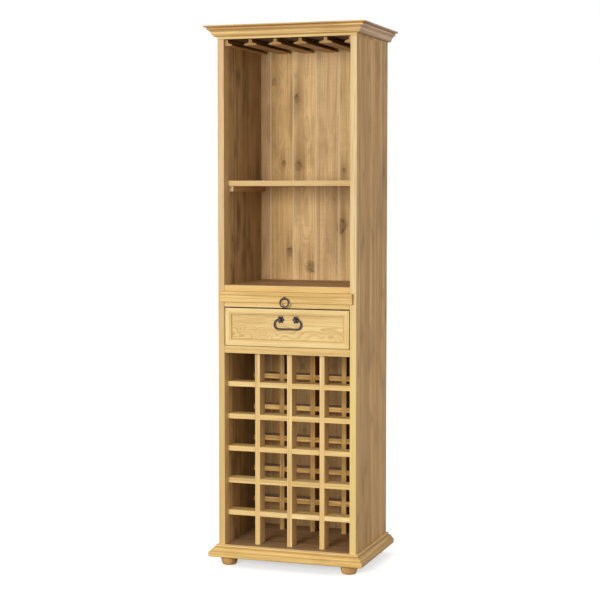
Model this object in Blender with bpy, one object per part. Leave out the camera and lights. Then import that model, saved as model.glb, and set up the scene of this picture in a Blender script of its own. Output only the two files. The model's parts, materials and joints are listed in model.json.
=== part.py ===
"""Tall pine cabinet for wine and glasses.

It has a hanging glass rack, a shelf, a pull-out serving board, a drawer and a bottle lattice.

Units are metres, +Z is up and the front faces -Y. The origin is on the floor under the middle.
"""

import math

import bmesh
import bpy

# Overall sizes
HEIGHT = 1.800
WIDTH = 0.481
DEPTH = 0.370

# Clearances
SEAT_GAP = 0.0003
SLIDE_GAP = 0.0005
SIDE_GAP = 0.0010
HEAD_GAP = 0.0020
DRAWER_REVEAL = 0.0030
DRAWER_TOP_REVEAL = 0.0040
DRAWER_BOTTOM_REVEAL = 0.0015

# Carcase boards
SIDE_THICK = 0.022
TOP_THICK = 0.025
FLOOR_THICK = 0.020
DECK_THICK = 0.024
BOTTOM_THICK = 0.020
BOTTOM_SHOW = 0.0015
TOP_SHOW = 0.0089
RACK_HEIGHT = 0.6484
DRAWER_OPENING = 0.1303
BOARD_THICK = 0.026

# Tongued and grooved back
BACK_THICK = 0.008
BACK_MIDDLE_BOARDS = 4
BACK_FIRST_WIDTH = 0.0357
BACK_LAST_WIDTH = 0.0673
BACK_CHAMFER = 0.0012
TONGUE_LENGTH = 0.004
TONGUE_THICK = 0.0026

# Shelf and its cleats
SHELF_THICK = 0.018
SHELF_SETBACK = 0.0365
SHELF_RISE = 0.3285
CLEAT_HEIGHT = 0.0175
CLEAT_WIDTH = 0.014
CLEAT_SETBACK = 0.012

# Hanging glass rails
RAIL_COUNT = 4
RAIL_FLANGE = 0.044
RAIL_WEB = 0.012
RAIL_WEB_DROP = 0.010
RAIL_CHAMFER = 0.005
RAIL_DROP = 0.0204
RAIL_SETBACK = 0.014
HALF_RAIL_WEB = 0.010
HALF_RAIL_FLANGE = 0.024

# Crown moulding, its members stacked down and in from the top fillet
CROWN_HEIGHT = 0.0350
CROWN_OUT = 0.0365
CROWN_FILLET = 0.0056
CROWN_FILLET_EASE = 0.0025
CROWN_OVERHANG = 0.0089
CROWN_QUIRK = 0.0008
CROWN_BEAD = 0.0042
CROWN_SLOPE_IN = 0.0060
CROWN_SLOPE_DOWN = 0.0055
CROWN_FOOT = 0.0075
CROWN_SWELL = 0.45

# Base moulding, its members stacked up and in from the plinth
BASE_HEIGHT = 0.0375
BASE_OUT = 0.0280
BASE_PLINTH = 0.0180
BASE_NOSE = 0.0034
BASE_QUIRK = 0.0019
BASE_OVOLO_SETBACK = 0.0050
BASE_OVOLO_DEPTH = 0.0135
BASE_SWELL = 0.6
BASE_BEAD = 0.0026
BASE_BEAD_SETBACK = 0.0024
BASE_BEAD_QUIRK = 0.0012

# Turned feet
FOOT_HEIGHT = 0.031
FOOT_RADIUS = 0.0283
FOOT_TREAD_RADIUS = 0.0195
FOOT_NECK_RADIUS = 0.0275
FOOT_RIM_LEVEL = 0.0245
FOOT_INSET_X = 0.0295
FOOT_INSET_FRONT = 0.022
FOOT_INSET_REAR = 0.034
FOOT_SIDES = 28

# Bottle lattice
LATTICE_COLUMNS = 4
LATTICE_ROWS = 6
SLAT_THICK = 0.0168
SLAT_DEPTH = 0.050
LATTICE_SETBACK = 0.032
BOTTOM_CELL = 0.0962
TOP_CELL = 0.0989

# Serving board and its moulded front strip
BOARD_BACK_GAP = 0.022
STRIP_HEIGHT = 0.0355
STRIP_OUT = 0.0155
STRIP_FLAT_OUT = 0.0135
STRIP_STEP = 0.0015
STRIP_STEP_LEVEL = 0.0124
STRIP_NOSE_HEIGHT = 0.0131
STRIP_NOSE_RADIUS = 0.0047
STRIP_EASE = 0.0021
STRIP_LAP = 0.011

# Ring pull
RING_WIRE = 0.0027
RING_DROP = 0.0016
RING_CLEARANCE = 0.0056
RING_SEGMENTS = 32
EYE_PLAY = 0.0006
EYE_WIRE = 0.0019
EYE_WIDTH = 0.004
EYE_STANDOFF = 0.0065
EYE_TAIL = 0.0026
EYE_SEGMENTS = 24

# Drawer
DRAWER_FRONT_THICK = 0.022
DRAWER_BORDER = 0.014
DRAWER_SLOPE = 0.0088
DRAWER_RECESS = 0.008
DRAWER_BACK_GAP = 0.042
DRAWER_SIDE_THICK = 0.012
DRAWER_HEAD_GAP = 0.025
DRAWER_FLOOR_THICK = 0.006
DRAWER_FLOOR_RISE = 0.008
DRAWER_GROOVE = 0.005
DRAWER_BACK_DROP = 0.006

# Bail pull
PULL_OFFSET = 0.005
PULL_MARGIN = 0.0005
ROSETTE_SPACING = 0.0534
ROSETTE_RADIUS = 0.0130
ROSETTE_RISE = 0.0116
ROSETTE_THICK = 0.0030
ROSETTE_EDGE = 0.0012
ROSETTE_DOME_RADIUS = 0.0100
ROSETTE_DISH_RIM = 0.0005
ROSETTE_DISH_HEIGHT = 0.0022
ROSETTE_PETALS = 6
ROSETTE_SCALLOP = 0.19
ROSETTE_SEGMENTS = 36
POST_WALL = 0.0015
POST_EASE = 0.0012
BAIL_AXIS_OUT = 0.0085
BAIL_WIRE = 0.0026
BAIL_GRIP_WIRE = 0.0031
BAIL_REACH = 0.0194
BAIL_DROP = 0.0306
BAIL_BEND = 0.0138
BAIL_PLAY = 0.0004
BAIL_PIN = 0.0035
PIN_HOLE_SEGMENTS = 16

# Fineness of round shapes
ARC_STEPS = 5
WIRE_SIDES = 10
SMOOTH_ANGLE = math.radians(50)
AXIS_MARK = 0.05

# Levels above the floor
BOTTOM_LEVEL = FOOT_HEIGHT + BASE_HEIGHT + BOTTOM_SHOW
RACK_TOP = BOTTOM_LEVEL + RACK_HEIGHT
DRAWER_DECK_TOP = RACK_TOP + DECK_THICK
BOARD_DECK_UNDER = DRAWER_DECK_TOP + DRAWER_OPENING
BOARD_DECK_TOP = BOARD_DECK_UNDER + DECK_THICK
BOARD_UNDER = BOARD_DECK_TOP + SLIDE_GAP
FLOOR_UNDER = BOARD_UNDER + BOARD_THICK + HEAD_GAP
FLOOR_TOP = FLOOR_UNDER + FLOOR_THICK
SHELF_UNDER = FLOOR_TOP + SHELF_RISE
CROWN_UNDER = HEIGHT - CROWN_HEIGHT
CEILING = CROWN_UNDER - TOP_SHOW

# Plan positions
HALF_WIDTH = WIDTH / 2
INNER_HALF = HALF_WIDTH - SIDE_THICK
FRONT = (CROWN_OUT - DEPTH) / 2
BACK = FRONT + DEPTH
BACK_FACE = BACK - BACK_THICK

# Posts that the bail turns in
BAIL_BORE = BAIL_WIRE + BAIL_PLAY
POST_RADIUS = BAIL_BORE + POST_WALL
POST_LENGTH = BAIL_AXIS_OUT + POST_RADIUS

# Finishes
PINE_LIGHT = (0.80, 0.56, 0.25)
PINE_SIDE = (0.42, 0.26, 0.11)
PINE_INNER = (0.36, 0.21, 0.09)
PINE_PALE = (0.84, 0.63, 0.32)
PINE_ROUGHNESS = 0.55
IRON = (0.035, 0.028, 0.032)
IRON_ROUGHNESS = 0.45
IRON_METALLIC = 0.9


def clear_scene():
    for old in list(bpy.data.objects):
        bpy.data.objects.remove(old, do_unlink=True)


def make_material(name, colour, roughness, metallic):
    material = bpy.data.materials.new(name)
    material.use_nodes = True
    shader = material.node_tree.nodes["Principled BSDF"]
    shader.inputs["Base Color"].default_value = (*colour, 1.0)
    shader.inputs["Roughness"].default_value = roughness
    shader.inputs["Metallic"].default_value = metallic
    return material


def make_wood(name, colour):
    return make_material(name + "_pine", colour, PINE_ROUGHNESS, 0)


def make_iron(name):
    return make_material(name + "_iron", IRON, IRON_ROUGHNESS, IRON_METALLIC)


def set_place(item, location, parent):
    """Puts an object at a place in the cabinet's frame, also under a parent that is only moved."""
    item.parent = parent
    while parent is not None:
        location = [a - b for a, b in zip(location, parent.location)]
        parent = parent.parent
    item.location = location


def make_axis(name, location, parent=None):
    """An empty on a joint's axis, which carries the pieces of one moving body."""
    axis = bpy.data.objects.new(name, None)
    axis.empty_display_size = AXIS_MARK
    bpy.context.scene.collection.objects.link(axis)
    set_place(axis, location, parent)
    return axis


def add_piece(name, bm, location, material, parent=None, smooth=False):
    """One sub-part at a place in the cabinet's frame, shaded smooth where it is round."""
    bmesh.ops.recalc_face_normals(bm, faces=bm.faces)
    mesh = bpy.data.meshes.new(name)
    bm.to_mesh(mesh)
    bm.free()
    mesh.materials.append(material)
    if smooth:
        mesh.shade_smooth()
        mesh.set_sharp_from_angle(angle=SMOOTH_ANGLE)
    piece = bpy.data.objects.new(name, mesh)
    bpy.context.scene.collection.objects.link(piece)
    set_place(piece, location, parent)
    return piece


def add_box(name, low, high, material, parent=None):
    """A plain board between two corners."""
    bm = bmesh.new()
    bmesh.ops.create_cube(bm, size=1.0)
    size = [b - a for a, b in zip(low, high)]
    bmesh.ops.scale(bm, vec=size, verts=bm.verts)
    centre = [(a + b) / 2 for a, b in zip(low, high)]
    return add_piece(name, bm, centre, material, parent)


def prism(outline, place, start, end):
    """A flat outline extruded from start to end, where place turns (u, v, along) into a point."""
    bm = bmesh.new()
    face = bm.faces.new([bm.verts.new(place(u, v, start)) for u, v in outline])
    extruded = bmesh.ops.extrude_face_region(bm, geom=[face])["geom"]
    moved = [item for item in extruded if isinstance(item, bmesh.types.BMVert)]
    step = [b - a for a, b in zip(place(0, 0, start), place(0, 0, end))]
    bmesh.ops.translate(bm, vec=step, verts=moved)
    return bm


def along_x(u, v, along):
    return (along, u, v)


def along_y(u, v, along):
    return (u, along, v)


def along_z(u, v, along):
    return (u, v, along)


def arc(centre, radii, start, end, steps=ARC_STEPS):
    """Points on an elliptic arc, angles in degrees."""
    points = []
    for step in range(steps + 1):
        angle = math.radians(start + (end - start) * step / steps)
        points.append((centre[0] + radii[0] * math.cos(angle), centre[1] + radii[1] * math.sin(angle)))
    return points


def loft(first, second):
    """A closed solid between two rings of points with matching order."""
    bm = bmesh.new()
    rings = [[bm.verts.new(point) for point in ring] for ring in (first, second)]
    bm.faces.new(rings[0])
    bm.faces.new(rings[1])
    count = len(first)
    for k in range(count):
        after = (k + 1) % count
        bm.faces.new((rings[0][k], rings[0][after], rings[1][after], rings[1][k]))
    return bm


def tube(path, normals, radii, closed=False):
    """A round wire along a path; each normal is square to the path in the plane the wire is bent in."""
    bm = bmesh.new()
    rings = []
    count = len(path)
    for point, normal, radius in zip(path, normals, radii):
        ring = []
        for side in range(WIRE_SIDES):
            angle = 2 * math.pi * side / WIRE_SIDES
            out = radius * math.cos(angle)
            ring.append(bm.verts.new((
                point[0] + out * normal[0],
                point[1] + radius * math.sin(angle),
                point[2] + out * normal[1],
            )))
        rings.append(ring)
    for k in range(count if closed else count - 1):
        here, there = rings[k], rings[(k + 1) % count]
        for side in range(WIRE_SIDES):
            after = (side + 1) % WIRE_SIDES
            bm.faces.new((here[side], here[after], there[after], there[side]))
    if not closed:
        bm.faces.new(rings[0])
        bm.faces.new(rings[-1])
    return bm


def turned(profile, sides):
    """A solid turned about Z from (radius, height) points, with flat ends."""
    bm = bmesh.new()
    rings = []
    for radius, height in profile:
        ring = []
        for side in range(sides):
            angle = 2 * math.pi * side / sides
            ring.append(bm.verts.new((radius * math.cos(angle), radius * math.sin(angle), height)))
        rings.append(ring)
    for here, there in zip(rings, rings[1:]):
        for side in range(sides):
            after = (side + 1) % sides
            bm.faces.new((here[side], here[after], there[after], there[side]))
    bm.faces.new(rings[0])
    bm.faces.new(rings[-1])
    return bm


def build_carcase():
    side_low, side_high = FOOT_HEIGHT, CEILING
    inner = INNER_HALF - SEAT_GAP
    for name, outer_x, inner_x in (
        ("left_side_panel", -HALF_WIDTH, -INNER_HALF),
        ("right_side_panel", HALF_WIDTH, INNER_HALF),
    ):
        low = (min(outer_x, inner_x), FRONT, side_low)
        high = (max(outer_x, inner_x), BACK, side_high)
        add_box(name, low, high, make_wood(name, PINE_SIDE))
    add_box(
        "top_panel",
        (-HALF_WIDTH, FRONT, CEILING + SEAT_GAP),
        (HALF_WIDTH, BACK, CEILING + TOP_THICK),
        make_wood("top_panel", PINE_LIGHT),
    )
    for name, under, top in (
        ("upper_floor", FLOOR_UNDER, FLOOR_TOP),
        ("serving_board_deck", BOARD_DECK_UNDER, BOARD_DECK_TOP),
        ("drawer_deck", RACK_TOP, DRAWER_DECK_TOP),
        ("bottom_panel", BOTTOM_LEVEL - BOTTOM_THICK, BOTTOM_LEVEL),
    ):
        low = (-inner, FRONT, under)
        high = (inner, BACK_FACE - SEAT_GAP, top)
        add_box(name, low, high, make_wood(name, PINE_LIGHT))


def back_board_outline(width, groove, tongue):
    """Cross-section of one back board, its front edges chamfered."""
    tongue_front = (BACK_THICK - TONGUE_THICK) / 2
    tongue_back = tongue_front + TONGUE_THICK
    right = [(width - BACK_CHAMFER, 0), (width, BACK_CHAMFER)]
    if tongue:
        tip = width + TONGUE_LENGTH
        right += [(width, tongue_front), (tip, tongue_front), (tip, tongue_back), (width, tongue_back)]
    left = []
    if groove:
        floor = TONGUE_LENGTH + SEAT_GAP
        front, back = tongue_front - SEAT_GAP, tongue_back + SEAT_GAP
        left = [(0, back), (floor, back), (floor, front), (0, front)]
    ends = [(width, BACK_THICK), (0, BACK_THICK)]
    return right + ends + left + [(0, BACK_CHAMFER), (BACK_CHAMFER, 0)]


def build_back():
    middle = (2 * INNER_HALF - BACK_FIRST_WIDTH - BACK_LAST_WIDTH) / BACK_MIDDLE_BOARDS
    widths = [BACK_FIRST_WIDTH] + [middle] * BACK_MIDDLE_BOARDS + [BACK_LAST_WIDTH]
    length = CEILING - SEAT_GAP - FOOT_HEIGHT
    left = -INNER_HALF
    for k, width in enumerate(widths):
        last = k == len(widths) - 1
        outline = back_board_outline(width - 2 * SEAT_GAP, groove=k > 0, tongue=not last)
        name = f"back_board_{k + 1}"
        bm = prism(outline, along_z, 0, length)
        add_piece(name, bm, (left + SEAT_GAP, BACK_FACE, FOOT_HEIGHT), make_wood(name, PINE_INNER))
        left += width


def build_shelf():
    inner = INNER_HALF - SEAT_GAP
    back = BACK_FACE - SEAT_GAP
    front = FRONT + SHELF_SETBACK
    shelf_low = (-inner, front, SHELF_UNDER)
    add_box("shelf", shelf_low, (inner, back, SHELF_UNDER + SHELF_THICK), make_wood("shelf", PINE_LIGHT))
    top = SHELF_UNDER - SEAT_GAP
    for name, side in (("left_shelf_cleat", -1), ("right_shelf_cleat", 1)):
        xs = sorted((side * inner, side * (inner - CLEAT_WIDTH)))
        low = (xs[0], front + CLEAT_SETBACK, top - CLEAT_HEIGHT)
        add_box(name, low, (xs[1], back, top), make_wood(name, PINE_INNER))


def build_glass_rails():
    """Four T rails and two half rails under the top, with equal slots for the stems between them."""
    start, end = FRONT + RAIL_SETBACK, BACK_FACE - SEAT_GAP
    top = CEILING - SEAT_GAP
    lip = RAIL_WEB_DROP + RAIL_CHAMFER
    web, flange = RAIL_WEB / 2, RAIL_FLANGE / 2
    half = [(web, 0), (web, -RAIL_WEB_DROP), (flange, -lip), (flange, -RAIL_DROP)]
    full_outline = half + [(-u, v) for u, v in reversed(half)]
    slots = RAIL_COUNT + 1
    slot = (2 * INNER_HALF - 2 * HALF_RAIL_FLANGE - RAIL_COUNT * RAIL_FLANGE) / slots
    for k in range(RAIL_COUNT):
        name = f"glass_rail_{k + 1}"
        middle = -INNER_HALF + HALF_RAIL_FLANGE + (k + 1) * slot + (k + 0.5) * RAIL_FLANGE
        bm = prism(full_outline, along_y, 0, end - start)
        add_piece(name, bm, (middle, start, top), make_wood(name, PINE_INNER))
    for name, side in (("left_half_rail", 1), ("right_half_rail", -1)):
        wall = SEAT_GAP
        outline = [(wall, 0), (HALF_RAIL_WEB, 0), (HALF_RAIL_WEB, -RAIL_WEB_DROP)]
        outline += [(HALF_RAIL_FLANGE, -lip), (HALF_RAIL_FLANGE, -RAIL_DROP), (wall, -RAIL_DROP)]
        bm = prism([(side * u, v) for u, v in outline], along_y, 0, end - start)
        add_piece(name, bm, (-side * INNER_HALF, start, top), make_wood(name, PINE_INNER))


def flattened(points, swell):
    """An arc drawn in towards its chord; swell is the share of its bulge that is left."""
    first, last = points[0], points[-1]
    result = []
    for k, point in enumerate(points):
        share = k / (len(points) - 1)
        chord = [start + (end - start) * share for start, end in zip(first, last)]
        result.append(tuple(flat + (full - flat) * swell for flat, full in zip(chord, point)))
    return result


def crown_profile():
    """(out, up) points: flat foot, shallow ovolo, slope, bead and top fillet."""
    fillet_low = CROWN_HEIGHT - CROWN_FILLET
    bead_up = fillet_low - CROWN_QUIRK - CROWN_BEAD
    bead_in = CROWN_OUT - CROWN_OVERHANG - CROWN_BEAD
    ovolo_up = bead_up - CROWN_BEAD - CROWN_SLOPE_DOWN
    ovolo_depth = bead_in - CROWN_SLOPE_IN - CROWN_FOOT
    points = [(SEAT_GAP, 0)]
    points += flattened(arc((CROWN_FOOT, ovolo_up), (ovolo_depth, ovolo_up), -90, 0), CROWN_SWELL)
    points += arc((bead_in, bead_up), (CROWN_BEAD, CROWN_BEAD), -90, 90)
    points += [(CROWN_OUT - CROWN_FILLET_EASE, fillet_low), (CROWN_OUT, fillet_low + CROWN_FILLET_EASE)]
    return points + [(CROWN_OUT, CROWN_HEIGHT), (SEAT_GAP, CROWN_HEIGHT)]


def base_profile():
    """(out, up) points: round-edged plinth, shallow ovolo above it and a small bead on top."""
    nose_in = BASE_OUT - BASE_NOSE
    bead_up = BASE_HEIGHT - BASE_BEAD
    ovolo_low = BASE_PLINTH + BASE_QUIRK
    ovolo_height = bead_up - BASE_BEAD - BASE_BEAD_QUIRK - ovolo_low
    ovolo_in = BASE_OUT - BASE_OVOLO_SETBACK - BASE_OVOLO_DEPTH
    points = [(SEAT_GAP, 0)]
    points += arc((nose_in, BASE_NOSE), (BASE_NOSE, BASE_NOSE), -90, 0)
    points += arc((nose_in, BASE_PLINTH - BASE_NOSE), (BASE_NOSE, BASE_NOSE), 0, 90)
    points += flattened(arc((ovolo_in, ovolo_low), (BASE_OVOLO_DEPTH, ovolo_height), 0, 90), BASE_SWELL)
    points += arc((ovolo_in - BASE_BEAD_SETBACK, bead_up), (BASE_BEAD, BASE_BEAD), -90, 90)
    return points + [(SEAT_GAP, BASE_HEIGHT)]


def build_moulding(prefix, profile, level, colour):
    """Three lengths of moulding round the front and sides, mitred at the two front corners."""
    mitre = math.sqrt(2) * SEAT_GAP
    name = prefix + "_front"
    left = [(-HALF_WIDTH - out, FRONT - out, level + up) for out, up in profile]
    right = [(HALF_WIDTH + out, FRONT - out, level + up) for out, up in profile]
    add_piece(name, loft(left, right), (0, 0, 0), make_wood(name, colour))
    for side_name, side in (("_left", -1), ("_right", 1)):
        name = prefix + side_name
        front = [(side * (HALF_WIDTH + out), FRONT - out + mitre, level + up) for out, up in profile]
        back = [(side * (HALF_WIDTH + out), BACK, level + up) for out, up in profile]
        add_piece(name, loft(front, back), (0, 0, 0), make_wood(name, colour))


def build_feet():
    top = FOOT_HEIGHT - SEAT_GAP
    under = (FOOT_RADIUS - FOOT_TREAD_RADIUS, FOOT_RIM_LEVEL)
    shoulder = (FOOT_RADIUS - FOOT_NECK_RADIUS, top - FOOT_RIM_LEVEL)
    profile = arc((FOOT_TREAD_RADIUS, FOOT_RIM_LEVEL), under, -90, 0)
    profile += arc((FOOT_NECK_RADIUS, FOOT_RIM_LEVEL), shoulder, 0, 90)[1:]
    for depth_name, y in (("front", FRONT + FOOT_INSET_FRONT), ("rear", BACK - FOOT_INSET_REAR)):
        for side_name, side in (("left", -1), ("right", 1)):
            name = f"{depth_name}_{side_name}_foot"
            x = side * (HALF_WIDTH - FOOT_INSET_X)
            bm = turned(profile, FOOT_SIDES)
            add_piece(name, bm, (x, y, 0), make_wood(name, PINE_LIGHT), smooth=True)


def notched(length, centres, notch_from_low):
    """Side outline of a half-lapped slat: (along, across) points with a notch at each crossing."""
    half = SLAT_THICK / 2 + SEAT_GAP
    bed = SLAT_DEPTH / 2 + (SEAT_GAP / 2 if notch_from_low else -SEAT_GAP / 2)
    edge = 0 if notch_from_low else SLAT_DEPTH
    plain = SLAT_DEPTH - edge
    outline = [(0, edge)]
    for centre in centres:
        low, high = centre - half, centre + half
        outline += [(low, edge), (low, bed), (high, bed), (high, edge)]
    return outline + [(length, edge), (length, plain), (0, plain)]


def lattice_columns():
    """Middle of each upright, from the left wall."""
    cell = (2 * INNER_HALF - (LATTICE_COLUMNS - 1) * SLAT_THICK) / LATTICE_COLUMNS
    return [(k + 1) * (cell + SLAT_THICK) - SLAT_THICK / 2 for k in range(LATTICE_COLUMNS - 1)]


def lattice_rows():
    """Middle of each cross slat, from the bottom panel."""
    first = BOTTOM_CELL + SLAT_THICK / 2
    last = RACK_HEIGHT - TOP_CELL - SLAT_THICK / 2
    count = LATTICE_ROWS - 1
    return [first + (last - first) * k / (count - 1) for k in range(count)]


def build_lattice(prefix, front):
    """Uprights notched at the back, cross slats notched at the front, locked together at each crossing."""
    columns, rows = lattice_columns(), lattice_rows()
    upright_length = RACK_HEIGHT - 2 * SEAT_GAP
    upright_notches = [row - SEAT_GAP for row in rows]
    upright = [(v, u) for u, v in notched(upright_length, upright_notches, notch_from_low=False)]
    for k, column in enumerate(columns):
        name = f"{prefix}_upright_{k + 1}"
        bm = prism(upright, along_x, -SLAT_THICK / 2, SLAT_THICK / 2)
        place = (column - INNER_HALF, front, BOTTOM_LEVEL + SEAT_GAP)
        add_piece(name, bm, place, make_wood(name, PINE_LIGHT))
    cross_length = 2 * (INNER_HALF - SEAT_GAP)
    cross_notches = [column - SEAT_GAP for column in columns]
    cross = notched(cross_length, cross_notches, notch_from_low=True)
    for k, row in enumerate(rows):
        name = f"{prefix}_cross_slat_{k + 1}"
        bm = prism(cross, along_z, -SLAT_THICK / 2, SLAT_THICK / 2)
        place = (SEAT_GAP - INNER_HALF, front, BOTTOM_LEVEL + row)
        add_piece(name, bm, place, make_wood(name, PINE_LIGHT))


def build_bottle_rack():
    front = FRONT + LATTICE_SETBACK
    rear = BACK_FACE - LATTICE_SETBACK - SLAT_DEPTH
    build_lattice("front_lattice", front)
    build_lattice("rear_lattice", rear)


def strip_profile():
    """(out, up) points of the serving board's front strip: low flat, raised flat and rounded nose."""
    low_out = STRIP_FLAT_OUT - STRIP_STEP
    nose_low = STRIP_HEIGHT - STRIP_NOSE_HEIGHT
    nose_centre = (STRIP_OUT - STRIP_NOSE_RADIUS, STRIP_HEIGHT - STRIP_NOSE_RADIUS)
    points = [(0, 0), (low_out - STRIP_EASE, 0), (low_out, STRIP_EASE), (low_out, STRIP_STEP_LEVEL)]
    points += [(STRIP_FLAT_OUT, STRIP_STEP_LEVEL + STRIP_STEP), (STRIP_FLAT_OUT, nose_low)]
    points += [(STRIP_OUT, nose_low + STRIP_EASE)]
    points += arc(nose_centre, (STRIP_NOSE_RADIUS, STRIP_NOSE_RADIUS), 0, 90)
    return points + [(0, STRIP_HEIGHT)]


def strip_flat_middle():
    """Middle of the strip's raised flat, above the strip's lower edge."""
    return (STRIP_STEP_LEVEL + STRIP_STEP + STRIP_HEIGHT - STRIP_NOSE_HEIGHT) / 2


def build_serving_board():
    """The board that pulls out under the open part, with its strip and the eye for the ring."""
    axis = make_axis("serving_board_axis", (0, FRONT, BOARD_UNDER))
    half = INNER_HALF - SIDE_GAP
    strip_back = FRONT - SLIDE_GAP
    board_front = strip_back + SEAT_GAP
    low = (-half, board_front, BOARD_UNDER)
    high = (half, BACK_FACE - BOARD_BACK_GAP, BOARD_UNDER + BOARD_THICK)
    add_box("serving_board", low, high, make_wood("serving_board", PINE_LIGHT), parent=axis)
    strip_under = FLOOR_UNDER - STRIP_HEIGHT
    outline = [(-out, up) for out, up in strip_profile()]
    half_strip = INNER_HALF + STRIP_LAP
    bm = prism(outline, along_x, -half_strip, half_strip)
    wood = make_wood("serving_board_strip", PINE_LIGHT)
    add_piece("serving_board_strip", bm, (0, strip_back, strip_under), wood, parent=axis)
    build_ring(axis, strip_back - STRIP_FLAT_OUT, strip_under + strip_flat_middle() - RING_DROP)


def eye_bm():
    """A flat loop round the ring's wire, with a tail towards +Y that meets the strip."""
    bore = RING_WIRE + EYE_PLAY
    rim = bore + EYE_WIRE
    tail_end = EYE_STANDOFF - SEAT_GAP
    bm = bmesh.new()
    rings = []
    half = EYE_WIDTH / 2
    for x, outer in ((-half, True), (half, True), (half, False), (-half, False)):
        ring = []
        for k in range(EYE_SEGMENTS):
            angle = 2 * math.pi * k / EYE_SEGMENTS
            radius = rim if outer else bore
            y, z = radius * math.cos(angle), radius * math.sin(angle)
            if outer and y > 0 and abs(z) < EYE_TAIL:
                y = tail_end
            ring.append(bm.verts.new((x, y, z)))
        rings.append(ring)
    for here, there in zip(rings, rings[1:] + rings[:1]):
        for k in range(EYE_SEGMENTS):
            after = (k + 1) % EYE_SEGMENTS
            bm.faces.new((here[k], here[after], there[after], there[k]))
    return bm


def build_ring(axis, seat, level):
    """An iron ring that hangs in an eye on the strip and just clears the drawer below."""
    hinge = (0, seat - EYE_STANDOFF, level)
    add_piece("ring_eye", eye_bm(), hinge, make_iron("ring_eye"), parent=axis, smooth=True)
    swing = make_axis("ring_axis", hinge, parent=axis)
    drawer_top = BOARD_DECK_UNDER - DRAWER_TOP_REVEAL
    radius = (level - drawer_top - RING_CLEARANCE - RING_WIRE) / 2
    path, normals = [], []
    for k in range(RING_SEGMENTS):
        angle = 2 * math.pi * k / RING_SEGMENTS
        normals.append((math.sin(angle), math.cos(angle)))
        path.append((radius * math.sin(angle), 0, radius * (math.cos(angle) - 1)))
    bm = tube(path, normals, [RING_WIRE] * RING_SEGMENTS, closed=True)
    add_piece("ring", bm, hinge, make_iron("ring"), parent=swing, smooth=True)


def drawer_front_bm(width, height):
    """A slab whose front has a flat border, a sloping step and a sunk panel."""
    bm = bmesh.new()
    bmesh.ops.create_cube(bm, size=1.0)
    bmesh.ops.scale(bm, vec=(width, DRAWER_FRONT_THICK, height), verts=bm.verts)
    bm.normal_update()
    front = min(bm.faces, key=lambda face: face.calc_center_median().y)
    bmesh.ops.inset_individual(bm, faces=[front], thickness=DRAWER_BORDER, depth=0)
    bmesh.ops.inset_individual(bm, faces=[front], thickness=DRAWER_SLOPE, depth=-DRAWER_RECESS)
    return bm


def build_drawer():
    axis = make_axis("drawer_axis", (0, FRONT, DRAWER_DECK_TOP))
    half = INNER_HALF - DRAWER_REVEAL
    low, high = DRAWER_DECK_TOP + DRAWER_BOTTOM_REVEAL, BOARD_DECK_UNDER - DRAWER_TOP_REVEAL
    front_place = (0, FRONT + DRAWER_FRONT_THICK / 2, (low + high) / 2)
    bm = drawer_front_bm(2 * half, high - low)
    wood = make_wood("drawer_front", PINE_PALE)
    add_piece("drawer_front", bm, front_place, wood, parent=axis)
    box_front = FRONT + DRAWER_FRONT_THICK + SEAT_GAP
    box_back = BACK_FACE - DRAWER_BACK_GAP
    box_low = DRAWER_DECK_TOP + SLIDE_GAP
    side_height = BOARD_DECK_UNDER - DRAWER_HEAD_GAP - box_low
    floor_low = box_low + DRAWER_FLOOR_RISE
    floor_high = floor_low + DRAWER_FLOOR_THICK
    side_outline = [
        (0, 0),
        (DRAWER_SIDE_THICK, 0),
        (DRAWER_SIDE_THICK, DRAWER_FLOOR_RISE - SEAT_GAP),
        (DRAWER_SIDE_THICK - DRAWER_GROOVE, DRAWER_FLOOR_RISE - SEAT_GAP),
        (DRAWER_SIDE_THICK - DRAWER_GROOVE, floor_high - box_low + SEAT_GAP),
        (DRAWER_SIDE_THICK, floor_high - box_low + SEAT_GAP),
        (DRAWER_SIDE_THICK, side_height),
        (0, side_height),
    ]
    for name, side in (("drawer_left_side", 1), ("drawer_right_side", -1)):
        outline = [(side * u, v) for u, v in side_outline]
        bm = prism(outline, along_y, 0, box_back - box_front)
        wood = make_wood(name, PINE_PALE)
        add_piece(name, bm, (-side * half, box_front, box_low), wood, parent=axis)
    inside = half - DRAWER_SIDE_THICK - SEAT_GAP
    back_low = (-inside, box_back - DRAWER_SIDE_THICK, floor_high + SEAT_GAP)
    back_high = (inside, box_back, box_low + side_height - DRAWER_BACK_DROP)
    add_box("drawer_back", back_low, back_high, make_wood("drawer_back", PINE_PALE), parent=axis)
    floor_half = inside + DRAWER_GROOVE
    floor_corner = (-floor_half, box_front, floor_low)
    floor_far = (floor_half, box_back, floor_high)
    add_box("drawer_floor", floor_corner, floor_far, make_wood("drawer_floor", PINE_PALE), parent=axis)
    panel_top = high - DRAWER_BORDER - DRAWER_SLOPE
    build_bail_pull(axis, FRONT + DRAWER_RECESS - SEAT_GAP, panel_top - PULL_MARGIN - ROSETTE_RISE)


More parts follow.
